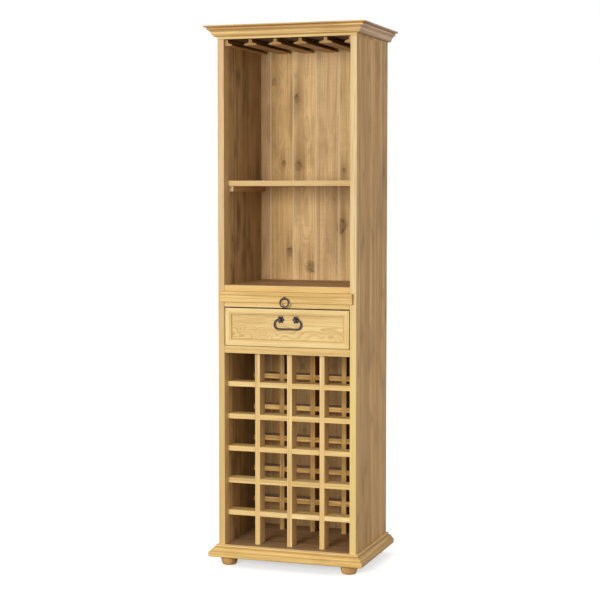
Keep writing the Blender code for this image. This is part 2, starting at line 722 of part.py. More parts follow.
def rosette_bm():
    """A small blossom plate with a round post in its middle, standing up along +Z."""
    rings = (
        (ROSETTE_RADIUS, 0, True),
        (ROSETTE_RADIUS, ROSETTE_EDGE, True),
        (ROSETTE_DOME_RADIUS, ROSETTE_THICK, True),
        (POST_RADIUS + ROSETTE_DISH_RIM, ROSETTE_DISH_HEIGHT, False),
        (POST_RADIUS, ROSETTE_DISH_HEIGHT, False),
        (POST_RADIUS, POST_LENGTH - POST_EASE, False),
        (POST_RADIUS - POST_EASE, POST_LENGTH, False),
    )
    bm = bmesh.new()
    loops = []
    for radius, height, petals in rings:
        scallop = ROSETTE_SCALLOP if petals else 0
        loop = []
        for k in range(ROSETTE_SEGMENTS):
            angle = 2 * math.pi * k / ROSETTE_SEGMENTS
            reach = radius * (1 - scallop * (1 - math.cos(ROSETTE_PETALS * angle)))
            loop.append(bm.verts.new((reach * math.cos(angle), reach * math.sin(angle), height)))
        loops.append(loop)
    for here, there in zip(loops, loops[1:]):
        for k in range(ROSETTE_SEGMENTS):
            after = (k + 1) % ROSETTE_SEGMENTS
            bm.faces.new((here[k], here[after], there[after], there[k]))
    bm.faces.new(loops[0])
    bm.faces.new(loops[-1])
    return bm


def add_pin_cutter(name, middle, length):
    """A round cutter along X for the hole that a bail end turns in."""
    bm = bmesh.new()
    bmesh.ops.create_cone(
        bm, cap_ends=True, segments=PIN_HOLE_SEGMENTS, radius1=BAIL_BORE, radius2=BAIL_BORE, depth=length
    )
    cutter = add_piece(name, bm, middle, make_iron(name))
    cutter.rotation_euler = (0, math.pi / 2, 0)
    cutter.hide_render = True
    cutter.display_type = "WIRE"
    return cutter


def bail_path(half_width, start):
    """Middle line of the bail from its left end to its right end, in its own plane, with bend normals."""
    bend = BAIL_BEND
    corner_x = half_width - bend
    points, normals = [(-start, 0)], [(0, 1)]
    for centre, first, last in (
        ((-corner_x, -bend), 90, 180),
        ((-corner_x, bend - BAIL_DROP), 180, 270),
        ((corner_x, bend - BAIL_DROP), 270, 360),
        ((corner_x, -bend), 0, 90),
    ):
        for step in range(ARC_STEPS + 1):
            angle = math.radians(first + (last - first) * step / ARC_STEPS)
            normals.append((math.cos(angle), math.sin(angle)))
            points.append((centre[0] + bend * math.cos(angle), centre[1] + bend * math.sin(angle)))
    return points + [(start, 0)], normals + [(0, 1)]


def build_bail_pull(axis, seat, level):
    """Two rosettes with posts on the sunk panel and a bail whose ends turn in the posts."""
    hinge = (PULL_OFFSET, seat - BAIL_AXIS_OUT, level)
    for name, side in (("left_rosette", -1), ("right_rosette", 1)):
        place = (PULL_OFFSET + side * ROSETTE_SPACING / 2, seat, level)
        bm = rosette_bm()
        rosette = add_piece(name, bm, place, make_iron(name), parent=axis, smooth=True)
        rosette.rotation_euler = (math.pi / 2, 0, 0)
        length = 2 * POST_RADIUS
        middle = (place[0] + side * (length / 2 + POST_RADIUS - BAIL_PIN - BAIL_PLAY), hinge[1], level)
        cutter = add_pin_cutter(name + "_hole", middle, length)
        cut = rosette.modifiers.new("bail_hole", "BOOLEAN")
        cut.operation = "DIFFERENCE"
        cut.solver = "EXACT"
        cut.object = cutter
    swing = make_axis("bail_axis", hinge, parent=axis)
    start = ROSETTE_SPACING / 2 + POST_RADIUS - BAIL_PIN
    points, normals = bail_path(ROSETTE_SPACING / 2 + BAIL_REACH, start)
    path = [(x, 0, z) for x, z in points]
    radii = [BAIL_WIRE + (BAIL_GRIP_WIRE - BAIL_WIRE) * -z / BAIL_DROP for x, z in points]
    bm = tube(path, normals, radii)
    add_piece("bail", bm, hinge, make_iron("bail"), parent=swing, smooth=True)


def main():
    clear_scene()
    build_carcase()
    build_back()
    build_shelf()
    build_glass_rails()
    build_moulding("crown", crown_profile(), CROWN_UNDER, PINE_LIGHT)
    build_moulding("base", base_profile(), FOOT_HEIGHT, PINE_LIGHT)
    build_feet()
    build_bottle_rack()
    build_serving_board()
    build_drawer()
    bpy.context.view_layer.update()


main()
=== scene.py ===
"""Looks of the tall pine wine cabinet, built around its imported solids."""

import json
import math
import random
from collections import namedtuple

import bmesh
import bpy
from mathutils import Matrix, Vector


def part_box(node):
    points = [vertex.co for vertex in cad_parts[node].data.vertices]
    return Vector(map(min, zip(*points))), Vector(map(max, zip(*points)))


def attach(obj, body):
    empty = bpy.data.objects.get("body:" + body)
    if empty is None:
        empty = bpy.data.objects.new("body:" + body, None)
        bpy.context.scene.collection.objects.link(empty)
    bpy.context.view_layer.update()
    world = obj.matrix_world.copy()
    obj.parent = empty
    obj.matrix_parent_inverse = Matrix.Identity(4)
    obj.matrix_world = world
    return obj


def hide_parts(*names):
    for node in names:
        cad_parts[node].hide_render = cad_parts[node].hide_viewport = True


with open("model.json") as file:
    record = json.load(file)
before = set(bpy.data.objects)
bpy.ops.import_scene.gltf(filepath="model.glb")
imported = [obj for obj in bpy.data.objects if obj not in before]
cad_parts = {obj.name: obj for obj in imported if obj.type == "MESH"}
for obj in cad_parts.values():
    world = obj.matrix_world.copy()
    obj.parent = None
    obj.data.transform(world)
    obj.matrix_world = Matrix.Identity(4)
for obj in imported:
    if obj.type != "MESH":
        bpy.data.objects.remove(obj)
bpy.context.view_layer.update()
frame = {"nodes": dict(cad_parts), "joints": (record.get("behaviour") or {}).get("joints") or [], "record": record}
BODY_OF = {node: body for body, nodes in frame["record"]["behaviour"]["bodies"].items() for node in nodes}
HINGES = {joint["name"]: joint["pos_m"] for joint in frame["joints"] if joint["type"] == "hinge"}

# Camera at the photograph's viewing angle
CAMERA_PLACE = (1.6816, -4.9995, 1.2612)
CAMERA_TURN = 0.326
CAMERA_TILT = -0.0641
CAMERA_LENS = 93.6
CAMERA_SHIFT = -0.0167

# Studio light
LIGHT_AIM = (0.0, 0.0, 0.95)
KEY_PLACE = (-0.55, -5.2, 1.62)
KEY_SIZE = 1.6
KEY_POWER = 190
FILL_PLACE = (3.6, 1.6, 1.6)
FILL_SIZE = 2.2
FILL_POWER = 42
SKY_LEVEL = 0.45
FLOOR_HALF = 30
FLOOR_BOUNCE = (0.24, 0.23, 0.22)
FLOOR_SEEN = (0.9, 0.9, 0.9)

# Glow of the floor where it is seen: near and far distance, and strength at each
FLOOR_GLOW = (1.0, 5.0, 0.55, 0.82)

# Edges and curves of the pieces
WELD = 0.00001
FLAT_ANGLE = math.radians(1)
SHARP_ANGLE = math.radians(35)
SMOOTH_ANGLE = math.radians(50)
EASE = 0.0014
SMALL_EASE = 0.0008
EASE_STEPS = 2
EASE_ROUND = 0.5
# Eased edges paler: rubbed wear and a painted highlight
EDGE_WEAR_AND_HIGHLIGHT = 0.6
ARC_STEPS = 12
SMALL_ARC_STEPS = 4
SEAT_GAP = 0.0003

# Least part of a normal or direction along an axis
SQUARE_ON = 0.9
MOSTLY = 0.5
LEANING = 0.3
BEVELLED = 0.1

# Crown moulding members, from the top fillet down and in
CROWN_FILLET = 0.0056
CROWN_FILLET_EASE = 0.0025
CROWN_OVERHANG = 0.0089
CROWN_QUIRK = 0.0008
CROWN_BEAD = 0.0042
CROWN_SLOPE_IN = 0.006
CROWN_SLOPE_DOWN = 0.0055
CROWN_FOOT = 0.0075
CROWN_SWELL = 0.45
# Bands of height (from, to, amount): painted shade at the foot, high on the ovolo and under the bead; the top
# fillet rubbed pale with a painted highlight
CROWN_MARKS = ((0.0, 0.004, -0.55), (0.015, 0.0228, -0.55), (0.0286, 0.0318, -0.45), (0.039, 0.0445, 0.5))

# Base moulding members, from the plinth up and in
BASE_PLINTH = 0.018
BASE_NOSE = 0.0034
BASE_QUIRK = 0.0019
BASE_OVOLO_SETBACK = 0.005
BASE_OVOLO_DEPTH = 0.0135
BASE_SWELL = 0.6
BASE_BEAD = 0.0026
BASE_BEAD_SETBACK = 0.0024
BASE_BEAD_QUIRK = 0.0012
# Bands of height (from, to, amount): painted shade under the plinth's nose, in the quirk above the plinth and
# under the bead; the bead rubbed pale with a painted highlight
BASE_MARKS = ((0.0, 0.003, -0.4), (0.0165, 0.0212, -0.55), (0.029, 0.0325, -0.38), (0.0335, 0.0375, 0.5))

# Pith of both mouldings
MOULDING_PITH = (0.03, 0.09)

# Back boards: planed edge painted paler as a highlight, knots as (across, up, radius, how dark), and grain inside
# and behind
BACK_CHAMFER = 0.0012
BACK_BEVEL_DEPTH = 0.0003
BACK_BEVEL_WIDTH = 0.002
BACK_EDGE_HIGHLIGHT = 1.2
BACK_KNOTS = (
    (-0.087, 1.581, 0.014, 1.0), (-0.079, 1.347, 0.0165, 1.0), (-0.134, 1.353, 0.0105, 0.9),
    (0.08, 1.134, 0.024, 1.0), (0.087, 1.328, 0.008, 1.0), (-0.1115, 1.044, 0.0145, 1.0),
    (-0.034, 0.992, 0.019, 0.9), (-0.172, 1.64, 0.012, 0.6), (-0.063, 0.639, 0.012, 0.7),
    (0.055, 0.643, 0.013, 0.7), (-0.059, 0.411, 0.008, 0.6),
)
KNOT_OVERLAP = 0.01
BACK_LOOK = {"contrast": 0.36, "figure": 0.34, "cloudy": 0.48, "lines": 0.42, "sawn": 0.12}
BACK_REAR_LOOK = {"figure": 0.8, "sawn": 0.12}

# Side panels: knots as (towards the back, up, radius, how dark), and grain outside, inside and in front
SIDE_KNOTS = (
    (-0.087, 1.096, 0.009, 0.7), (-0.057, 0.328, 0.01, 0.6),
    (0.16, 1.322, 0.015, 0.9), (0.04, 0.72, 0.007, 0.5),
)
SIDE_LOOK = {
    "axes": "yxz", "stave_width": 0.058, "contrast": 0.45, "cloudy": 0.65, "figure": 1.1, "lines": 0.58,
}
WALL_LOOK = {"cloudy": 0.9, "figure": 0.7}
STILE_LOOK = {"contrast": 0.35, "figure": 0.45, "cloudy": 0.2, "knots": ()}

# Level boards: grain of the front edges, and width of the glued staves
EDGE_LOOK = {"figure": 0.6, "cloudy": 0.25, "knots": ()}
STAVE_WIDTH = 0.06

# Scattered knots: half width and half length that they cover, count, radii and how dark
SIDE_SCATTER = (0.17, 0.83, 6, (0.004, 0.008), (0.2, 0.5))
LEVEL_SCATTER = (0.16, 0.2, 3, (0.004, 0.009), (0.3, 0.9))
BACK_SCATTER = (0.83, 2, (0.004, 0.008), (0.3, 0.6))
BACK_SCATTER_SHARE = 0.8

# Drawer front, from its edge to the sunk panel
DRAWER_BORDER = 0.014
DRAWER_SLOPE = 0.0088
DRAWER_RECESS = 0.008
DRAWER_EASE = 0.0016
DRAWER_ARRIS = 0.0006
DRAWER_QUIRK = 0.0015
DRAWER_FILLET = 0.0012
# Painted shade on the moulding round the panel: on its steep faces, and less on its shallow ones
DRAWER_STEEP_SHADE = -0.75
DRAWER_SHALLOW_SHADE = -0.2
DRAWER_LOOK = {"contrast": 0.4, "figure": 0.6}

# Drawer panel: swirls of its rings as (up, across, radius, how dark, how far the rings rise), and grain
PANEL_SWIRLS = (
    (-0.0177, -0.0837, 0.007, 0.0, 2.2), (-0.023, -0.012, 0.007, 0.0, 0.6),
    (-0.016, 0.045, 0.008, 0.0, 0.4), (-0.02, 0.096, 0.008, 0.0, 0.5),
    (-0.014, -0.145, 0.006, 0.0, 0.7), (0.02, -0.115, 0.012, 0.0, 0.4),
    (-0.022, 0.154, 0.006, 0.0, 0.9),
)
PANEL_LOOK = {
    "pith": (-0.012, 0.085), "ring_width": 0.0015, "wander": 0.016, "contrast": 0.8, "early": 0.22,
    "figure": 0.4, "cloudy": 0.2,
}

# Glass rails: how dark the front end of each is, partly painted shade and partly a stain of its own for each rail,
# and the painted shade in the slots between them
RAIL_END_STAIN_AND_SHADE = {
    "left_half_rail": -0.35, "glass_rail_1": -1.15, "glass_rail_2": -1.1, "glass_rail_3": -1.25,
    "glass_rail_4": -0.9, "right_half_rail": -0.85,
}
RAIL_SLOT_SHADE = -0.9

# Feet
FOOT_SIDES = 56
FOOT_RADIUS = 0.0283
FOOT_TREAD = 0.0195
FOOT_NECK = 0.0275
FOOT_RIM_LEVEL = 0.0245
FOOT_GROOVE = 0.0007
FOOT_GROOVE_TOP = FOOT_RIM_LEVEL + 2 * FOOT_GROOVE
# How much darker the turned groove is
FOOT_GROOVE_DARKENING = -0.5

# Bottle lattice
LATTICE_UPRIGHTS = 3
LATTICE_SLATS = 5

# Serving board strip
STRIP_FLAT_OUT = 0.0135
STRIP_STEP = 0.0015
STRIP_STEP_LEVEL = 0.0124
STRIP_NOSE_HEIGHT = 0.0131
STRIP_NOSE_RADIUS = 0.0047
STRIP_EASE = 0.0021
# Painted shade in the creases at the step and under the nose, and how far it reaches from each
STRIP_CREASE_SHADE = -0.45
STRIP_STEP_SHADE_REACH = 0.0018
STRIP_NOSE_SHADE_REACH = 0.0016

# Ring and drawer pull
WIRE_SIDES = 18
RING_SEGMENTS = 72
FORGED_UNEVEN = 0.1
FORGED_WAVES = 5
FORGED_WAVE_START = 1.3
EYE_EASE = 0.0006
BAIL_WIRE = 0.0026
BAIL_SIDE_WIRE = 0.00285
BAIL_GRIP_WIRE = 0.0031
BAIL_BEND = 0.0138
BAIL_START = 0.0277
BAIL_PIN = 0.0039
BAIL_BORE = 0.003
POST_RADIUS = 0.0045
POST_EASE = 0.0016
ROSETTE_SEGMENTS = 72
ROSETTE_PETALS = 6
ROSETTE_ROUND = 0.6
ROSETTE_NOTCH = 0.4
ROSETTE_VALLEY = 0.35
ROSETTE_SHARES = (1.0, 0.97, 0.92, 0.85, 0.77, 0.68, 0.59, 0.51)
ROSETTE_EDGE = 0.001
ROSETTE_DOME = 0.0026
ROSETTE_DISH = 0.0006
ROSETTE_DISH_HEIGHT = 0.0018

# Pine tones: early wood, late wood and slow streaks
Tone = namedtuple("Tone", "light dark streak")
GOLD = Tone((0.87, 0.63, 0.265), (0.5, 0.275, 0.075), (0.7, 0.43, 0.135))
STILE = Tone((0.93, 0.71, 0.35), (0.62, 0.38, 0.13), (0.83, 0.58, 0.24))
PALE = Tone((0.93, 0.72, 0.34), (0.66, 0.41, 0.13), (0.82, 0.57, 0.22))
CROWN = Tone((0.91, 0.62, 0.26), (0.46, 0.245, 0.077), (0.7, 0.42, 0.14))
BASE = Tone((0.94, 0.64, 0.235), (0.555, 0.3, 0.073), (0.77, 0.465, 0.132))
TAN = Tone((0.9, 0.56, 0.23), (0.29, 0.151, 0.049), (0.53, 0.293, 0.1))
LATTICE = Tone((0.96, 0.7, 0.315), (0.6, 0.36, 0.115), (0.81, 0.525, 0.19))
# Painted light: the sides of the front lattice uprights lighter than their fronts
LIT_LATTICE_SIDE = Tone((1.0, 0.78, 0.42), (0.8, 0.53, 0.23), (0.92, 0.67, 0.32))
REAR = Tone((0.92, 0.57, 0.18), (0.36, 0.19, 0.05), (0.6, 0.335, 0.092))
# Painted shade: dark sides of the rear lattice uprights and dark tops of the rear slats
SHADED_REAR_SIDE = Tone((0.37, 0.216, 0.077), (0.16, 0.08, 0.025), (0.25, 0.14, 0.048))
SHADED_REAR_TOP = Tone((0.46, 0.345, 0.265), (0.21, 0.15, 0.11), (0.33, 0.24, 0.18))
# Painted shade: a darker tone for the level boards inside the cabinet
DEEP = Tone((0.72, 0.485, 0.24), (0.3, 0.17, 0.07), (0.48, 0.295, 0.13))
BACK = Tone((0.8, 0.53, 0.25), (0.36, 0.206, 0.08), (0.59, 0.366, 0.158))
# Painted shade: the glass rails in a darker brown than the other pine
BROWN = Tone((0.66, 0.44, 0.215), (0.34, 0.19, 0.078), (0.5, 0.31, 0.135))
# Painted shade: greyer side lengths of the crown, darker ones of the base
SHADED_CROWN_SIDE = Tone((0.9, 0.64, 0.42), (0.42, 0.27, 0.165), (0.66, 0.45, 0.29))
SHADED_BASE_SIDE = Tone((0.74, 0.485, 0.185), (0.35, 0.195, 0.063), (0.535, 0.325, 0.11))
FOOT = Tone((0.84, 0.515, 0.19), (0.45, 0.228, 0.068), (0.655, 0.363, 0.117))
CLEAT = Tone((0.76, 0.58, 0.35), (0.44, 0.3, 0.16), (0.6, 0.43, 0.24))
# Painted light: the sides of the shelf cleats lighter than their front ends
LIT_CLEAT_SIDE = Tone((1.0, 0.75, 0.4), (0.68, 0.45, 0.19), (0.84, 0.59, 0.28))
WALL = Tone((1.0, 0.72, 0.37), (0.31, 0.188, 0.086), (0.68, 0.44, 0.205))
EDGE = Tone((0.92, 0.675, 0.295), (0.56, 0.335, 0.1), (0.77, 0.495, 0.17))
STRIP = Tone((0.85, 0.595, 0.23), (0.51, 0.285, 0.073), (0.7, 0.42, 0.128))
# Painted shade under the top panel
SHADE = Tone((0.17, 0.105, 0.05), (0.09, 0.048, 0.02), (0.13, 0.075, 0.033))
PANEL = Tone((0.88, 0.66, 0.3), (0.53, 0.31, 0.095), (0.7, 0.445, 0.15))

# Tints of single boards
BACK_TINTS = (
    (1.02, 1.01, 1.08), (0.94, 0.93, 0.84), (1.05, 1.08, 1.09), (0.98, 1.01, 1.05), (0.93, 0.95, 0.9),
    (0.95, 0.95, 0.95),
)
STILE_TINTS = {"left_side_panel": (0.82, 0.77, 0.84), "right_side_panel": (0.92, 0.94, 1.03)}
SHELF_TINT = (0.82, 0.77, 0.76)
DRAWER_DECK_TINT = (0.9, 0.86, 0.79)
# Painted shade: the bottom panel darker
BOTTOM_TINT = (0.76, 0.74, 0.78)
SLAT_TINT = (1.04, 1.09, 1.14)

# Painted shade and painted light on a board: levels of none and full change, and (amount, colour)
# Painted light: the front edges of the sides paler high up and more golden lower down
STILE_GOLD_LEVELS = (1.25, 0.45)
STILE_GOLD_SHADE = (0.6, (0.91, 0.64, 0.165))
# Painted shade: the outer sides darker and browner lower down
SIDE_LOW_LEVELS = (1.05, 0.55)
SIDE_LOW_SHADE = (0.2, (0.5, 0.27, 0.06))
# Painted shade: the inner walls darker towards the back
WALL_DEPTHS = (-0.17, 0.1)
WALL_SHADE = (0.6, (0.245, 0.173, 0.102))
# Painted light: the inner walls paler near the front edge
WALL_FRONT_DEPTHS = (-0.105, -0.165)
WALL_FRONT_LIGHT = (0.75, (1.0, 0.68, 0.3))
# Painted shade: the cleats darker towards the back
CLEAT_DEPTHS = (-0.12, 0.08)
CLEAT_SHADE = (0.65, (0.36, 0.2, 0.07))

# Painted shade behind the bottle rack, full at a depth below the drawer deck
RACK_DEPTH = 0.03
RACK_WALL_SHADE = (0.5, (0.11, 0.076, 0.046))
RACK_BACK_SHADE = (0.55, (0.23, 0.1, 0.012))

# Directions of a board in painted shade and painted light
ACROSS = 0
ALONG = 2

# Grain noises as (name, waves a metre across the grain, along it, detail)
GRAIN_NOISES = (
    ("Cloud", 15, 6.0, 4.0),
    ("Band", 26, 0.9, 3.0),
    ("Streak", 75, 1.5, 3.0),
    ("Line", 300, 5.0, 2.0),
    ("Fibre", 900, 20.0, 1.0),
)
MIDDLE = 0.5
SEEDS = (0, 100)
SEED_SHIFTS = (3.7, 41.0, 1.9)
SAW_SCALE = (14.0, 1.0, 150.0)
SAW_DETAIL = 2.0

# Growth rings: how the pith wanders and scatters, and the part of a year that is late wood
SLOW_SWAY = (6, 1.6, 2.0)
FINE_SWAY = (45, 5, 1.0)
FINE_SWAY_REACH = (0.0026, 0.0026, 0.0)
PITH_SCATTER = (0.09, 0.05)
YEAR_SEED = 7.0
LATE_FULL = 0.86
LATE_END = 0.88
LATE_LEAST = 0.35

# Grain in the colour, in order, as (noise, where it starts, where it is full, colour of the tone)
GRAIN_LAYERS = (
    ("Band", 0.42, 0.6, "streak"),
    ("Streak", 0.52, 0.66, "dark"),
    ("Stave", 0.2, 1.0, "streak"),
    ("Cloud", 0.5, 0.7, "dark"),
    ("Line", 0.5, 0.66, "dark"),
    ("Fibre", 0.5, 0.78, "dark"),
    ("Saw", 0.44, 0.66, "dark"),
)
BAND_AMOUNT = 0.8
STREAK_AMOUNT = 0.7
STAVE_AMOUNT = 0.7
FIBRE_AMOUNT = 0.35
ONE_STAVE = 10.0

# Worn and stained places, with painted highlights and painted shade among them, and the surface of pine
WORN_AND_HIGHLIGHT_TONE = (0.92, 0.74, 0.44)
WORN_AND_HIGHLIGHT_AMOUNT = 0.6
STAIN_AND_SHADE_TONE = (0.36, 0.19, 0.06)
STAIN_AND_SHADE_AMOUNT = 0.8
PINE_ROUGHNESS = (0.58, 0.5)
PINE_SPECULAR = 0.15
RING_HEIGHT = 0.6
PINE_BUMP = {"Strength": 0.25, "Distance": 0.0004}

# Knots: lengths in radii of the knot, as (across, along), and ranges of the noises that break it up
KNOT_RISE = 1.1
KNOT_HEART = (0.225, 0.128, 0.05)
KNOT_RIM = (0.066, 0.036, 0.015)
KNOT_SWELL = (2.4, 4.4)
KNOT_SHAPE = (0.85, 1.2)
KNOT_TAIL = (1.9, 5.5)
KNOT_TAIL_RANGE = (0.34, 0.56)
KNOT_TAIL_LEAST = 0.25
KNOT_SEED = 230.0
KNOT_DETAIL = 4.0
KNOT_RAGGED_SCALE = (1.1, 0.8, 1.0)
KNOT_RAGGED = 2.6
KNOT_BROKEN_SCALE = (0.85, 0.85, 1.0)
KNOT_PATCHES = (0.3, 0.64, 0.5, 1.0)
KNOT_HEART_EDGE = (0.2, 1.3)
KNOT_RIM_START = (0.25, 0.65)
KNOT_RIM_END = (0.75, 1.2)
KNOT_RIM_ALONG = (0.15, 0.9, 0.3, 1.0)
KNOT_RIM_BREAKS = (0.44, 0.58, 0.05, 1.0)

# Iron
IRON_DARK = (0.028, 0.022, 0.028)
IRON_LIGHT = (0.075, 0.057, 0.066)
IRON_SCALE = (140.0, 140.0, 140.0)
IRON_DETAIL = 3.0
IRON_PATCHES = (0.35, 0.7)
IRON_ROUGHNESS = (0.3, 0.75, 0.36, 0.58)
IRON_METALLIC = 0.7
DENT_SCALE = (330.0, 330.0, 330.0)
IRON_BUMP = {"Strength": 0.5, "Distance": 0.0005}


# Node helpers

def fill(tree, node, inputs):
    """Links or sets the inputs of a node."""
    for key, value in inputs.items():
        if isinstance(value, bpy.types.NodeSocket):
            tree.links.new(value, node.inputs[key])
        else:
            node.inputs[key].default_value = value


def add_node(tree, kind, inputs=None, **settings):
    """A node with its settings and inputs."""
    node = tree.nodes.new(kind)
    for key, value in settings.items():
        setattr(node, key, value)
    fill(tree, node, inputs or {})
    return node


def split(tree, vector):
    return add_node(tree, "ShaderNodeSeparateXYZ", {0: vector}).outputs


def joined(tree, *values):
    return add_node(tree, "ShaderNodeCombineXYZ", dict(enumerate(values))).outputs[0]


def calc(tree, operation, *values):
    return add_node(tree, "ShaderNodeMath", dict(enumerate(values)), operation=operation).outputs[0]


def times(tree, first, second):
    return calc(tree, "MULTIPLY", first, second)


def vector_calc(tree, operation, *values):
    return add_node(tree, "ShaderNodeVectorMath", dict(enumerate(values)), operation=operation).outputs[0]


def ramp(tree, value, low, high, to_low=0.0, to_high=1.0):
    """A smooth step from low to high."""
    inputs = {"Value": value, "From Min": low, "From Max": high, "To Min": to_low, "To Max": to_high}
    return add_node(tree, "ShaderNodeMapRange", inputs, interpolation_type="SMOOTHSTEP").outputs[0]


def fall(tree, value, low, high):
    """A smooth step down from low to high."""
    return ramp(tree, value, low, high, 1.0, 0.0)


def mix_colour(tree, factor, first, second):
    """A colour or socket mixed with a colour; the node's colour sockets are 6 and 7, and 2 of the outputs."""
    if not isinstance(first, bpy.types.NodeSocket):
        first = (*first, 1.0)
    inputs = {0: factor, 6: first, 7: (*second, 1.0)}
    return add_node(tree, "ShaderNodeMix", inputs, data_type="RGBA").outputs[2]


def noise(tree, vector, detail, output=0):
    inputs = {"Vector": vector, "Scale": 1.0, "Detail": detail}
    return add_node(tree, "ShaderNodeTexNoise", inputs).outputs[output]


def new_group(name, numbers, outputs):
    """A node group that takes a Place and numbers, and gives numbers."""
    tree = bpy.data.node_groups.new(name, "ShaderNodeTree")
    tree.interface.new_socket(name="Place", in_out="INPUT", socket_type="NodeSocketVector")
    for direction, labels in (("INPUT", numbers), ("OUTPUT", outputs)):
        for label in labels:
            tree.interface.new_socket(name=label, in_out=direction, socket_type="NodeSocketFloat")
    return tree, tree.nodes.new("NodeGroupInput").outputs


# Pine

def make_grain_group():
    """Growth rings round a pith, slow streaks and fine fibres. Z of Place is along the grain."""
    tree, given = new_group(
        "pine_grain",
        ("Seed", "Pith Across", "Pith Deep", "Ring Width", "Wander", "Stave Width", "Lift", "Early"),
        ("Ring", "Cloud", "Band", "Streak", "Line", "Fibre", "Stave"),
    )
    part = split(tree, given["Place"])
    staves = calc(tree, "DIVIDE", part[0], given["Stave Width"])
    stave = calc(tree, "FLOOR", calc(tree, "ADD", staves, MIDDLE))
    across = calc(tree, "SUBTRACT", part[0], times(tree, stave, given["Stave Width"]))
    pick = add_node(tree, "ShaderNodeTexWhiteNoise", {"W": calc(tree, "ADD", stave, given["Seed"])},
                    noise_dimensions="1D").outputs
    chance = add_node(tree, "ShaderNodeSeparateColor", {0: pick["Color"]}).outputs
    sources = (given["Seed"], pick["Value"], given["Seed"])
    shift = joined(tree, *(times(tree, source, amount) for source, amount in zip(sources, SEED_SHIFTS)))

    def grain_noise(across_scale, along_scale, detail, output=0):
        scaled = vector_calc(tree, "MULTIPLY", given["Place"], (across_scale, across_scale, along_scale))
        return noise(tree, vector_calc(tree, "ADD", scaled, shift), detail, output)

    def sway_noise(scales):
        return vector_calc(tree, "SUBTRACT", grain_noise(*scales, output=1), (MIDDLE, MIDDLE, MIDDLE))

    slow = add_node(tree, "ShaderNodeVectorMath", {0: sway_noise(SLOW_SWAY), "Scale": given["Wander"]},
                    operation="SCALE").outputs[0]
    fine = vector_calc(tree, "MULTIPLY", sway_noise(FINE_SWAY), FINE_SWAY_REACH)
    sway = split(tree, vector_calc(tree, "ADD", slow, fine))

    def from_pith(place, pith, index):
        scatter = calc(tree, "SUBTRACT", chance[index], MIDDLE)
        centre = calc(tree, "MULTIPLY_ADD", scatter, PITH_SCATTER[index], pith)
        return calc(tree, "ADD", calc(tree, "SUBTRACT", place, centre), sway[index])

    out = from_pith(across, given["Pith Across"], 0)
    deep = from_pith(part[1], given["Pith Deep"], 1)
    square = calc(tree, "MULTIPLY_ADD", out, out, times(tree, deep, deep))
    radius = calc(tree, "ADD", calc(tree, "SQRT", square), given["Lift"])
    years = calc(tree, "DIVIDE", radius, given["Ring Width"])
    season = calc(tree, "FRACT", years)
    year = calc(tree, "ADD", calc(tree, "FLOOR", years), times(tree, given["Seed"], YEAR_SEED))
    weather = add_node(tree, "ShaderNodeTexWhiteNoise", {"W": year}, noise_dimensions="1D").outputs["Value"]
    late = times(tree, ramp(tree, season, given["Early"], LATE_FULL), fall(tree, season, LATE_END, 1))
    outputs = {label: grain_noise(*scales) for label, *scales in GRAIN_NOISES}
    outputs["Ring"] = times(tree, late, ramp(tree, weather, 0, 1, LATE_LEAST))
    outputs["Stave"] = chance[2]
    add_node(tree, "NodeGroupOutput", outputs)
    return tree


def make_knot_group():
    """One knot: how far the rings swell round it, its heart, its broken rim and its tails along the grain."""
    tree, given = new_group(
        "pine_knot", ("Across", "Along", "Radius", "Rise"), ("Lift", "Heart", "Rim", "Tail"),
    )
    part = split(tree, given["Place"])
    across = calc(tree, "DIVIDE", calc(tree, "SUBTRACT", part[0], given["Across"]), given["Radius"])
    along = calc(tree, "DIVIDE", calc(tree, "SUBTRACT", part[2], given["Along"]), given["Radius"])

    def square(width, length):
        u = calc(tree, "DIVIDE", across, width)
        v = calc(tree, "DIVIDE", along, length)
        return calc(tree, "MULTIPLY_ADD", u, u, times(tree, v, v))

    def hill(width, length):
        return calc(tree, "EXPONENT", times(tree, square(width, length), -1.0))

    seed = times(tree, calc(tree, "ADD", given["Across"], given["Along"]), KNOT_SEED)
    spot = joined(tree, across, along, seed)
    ragged = noise(tree, vector_calc(tree, "MULTIPLY", spot, KNOT_RAGGED_SCALE), KNOT_DETAIL)
    broken = noise(tree, vector_calc(tree, "MULTIPLY", spot, KNOT_BROKEN_SCALE), KNOT_DETAIL)
    rough = times(tree, calc(tree, "SUBTRACT", ragged, MIDDLE), KNOT_RAGGED)
    reach = calc(tree, "ADD", calc(tree, "SQRT", square(*KNOT_SHAPE)), rough)
    rim = times(tree, ramp(tree, reach, *KNOT_RIM_START), fall(tree, reach, *KNOT_RIM_END))
    rim = times(tree, rim, ramp(tree, calc(tree, "ABSOLUTE", along), *KNOT_RIM_ALONG))
    add_node(tree, "NodeGroupOutput", {
        "Lift": times(tree, times(tree, hill(*KNOT_SWELL), given["Radius"]), given["Rise"]),
        "Heart": times(tree, fall(tree, reach, *KNOT_HEART_EDGE), ramp(tree, broken, *KNOT_PATCHES)),
        "Rim": times(tree, rim, ramp(tree, broken, *KNOT_RIM_BREAKS)),
        "Tail": hill(*KNOT_TAIL),
    })
    return tree


GRAIN_GROUP = make_grain_group()
KNOT_GROUP = make_knot_group()


def grain_place(tree, axes):
    """Object coordinates with X across the grain, Y into the board and Z along the grain."""
    part = split(tree, add_node(tree, "ShaderNodeTexCoord").outputs["Object"])
    return joined(tree, *(part["xyz".index(axis)] for axis in axes))


def saw_marks(tree, place):
    return noise(tree, vector_calc(tree, "MULTIPLY", place, SAW_SCALE), SAW_DETAIL)


def new_material(name):
    """A material, its nodes and its shader."""
    material = bpy.data.materials.new(name)
    material.use_nodes = True
    return material, material.node_tree, material.node_tree.nodes["Principled BSDF"]


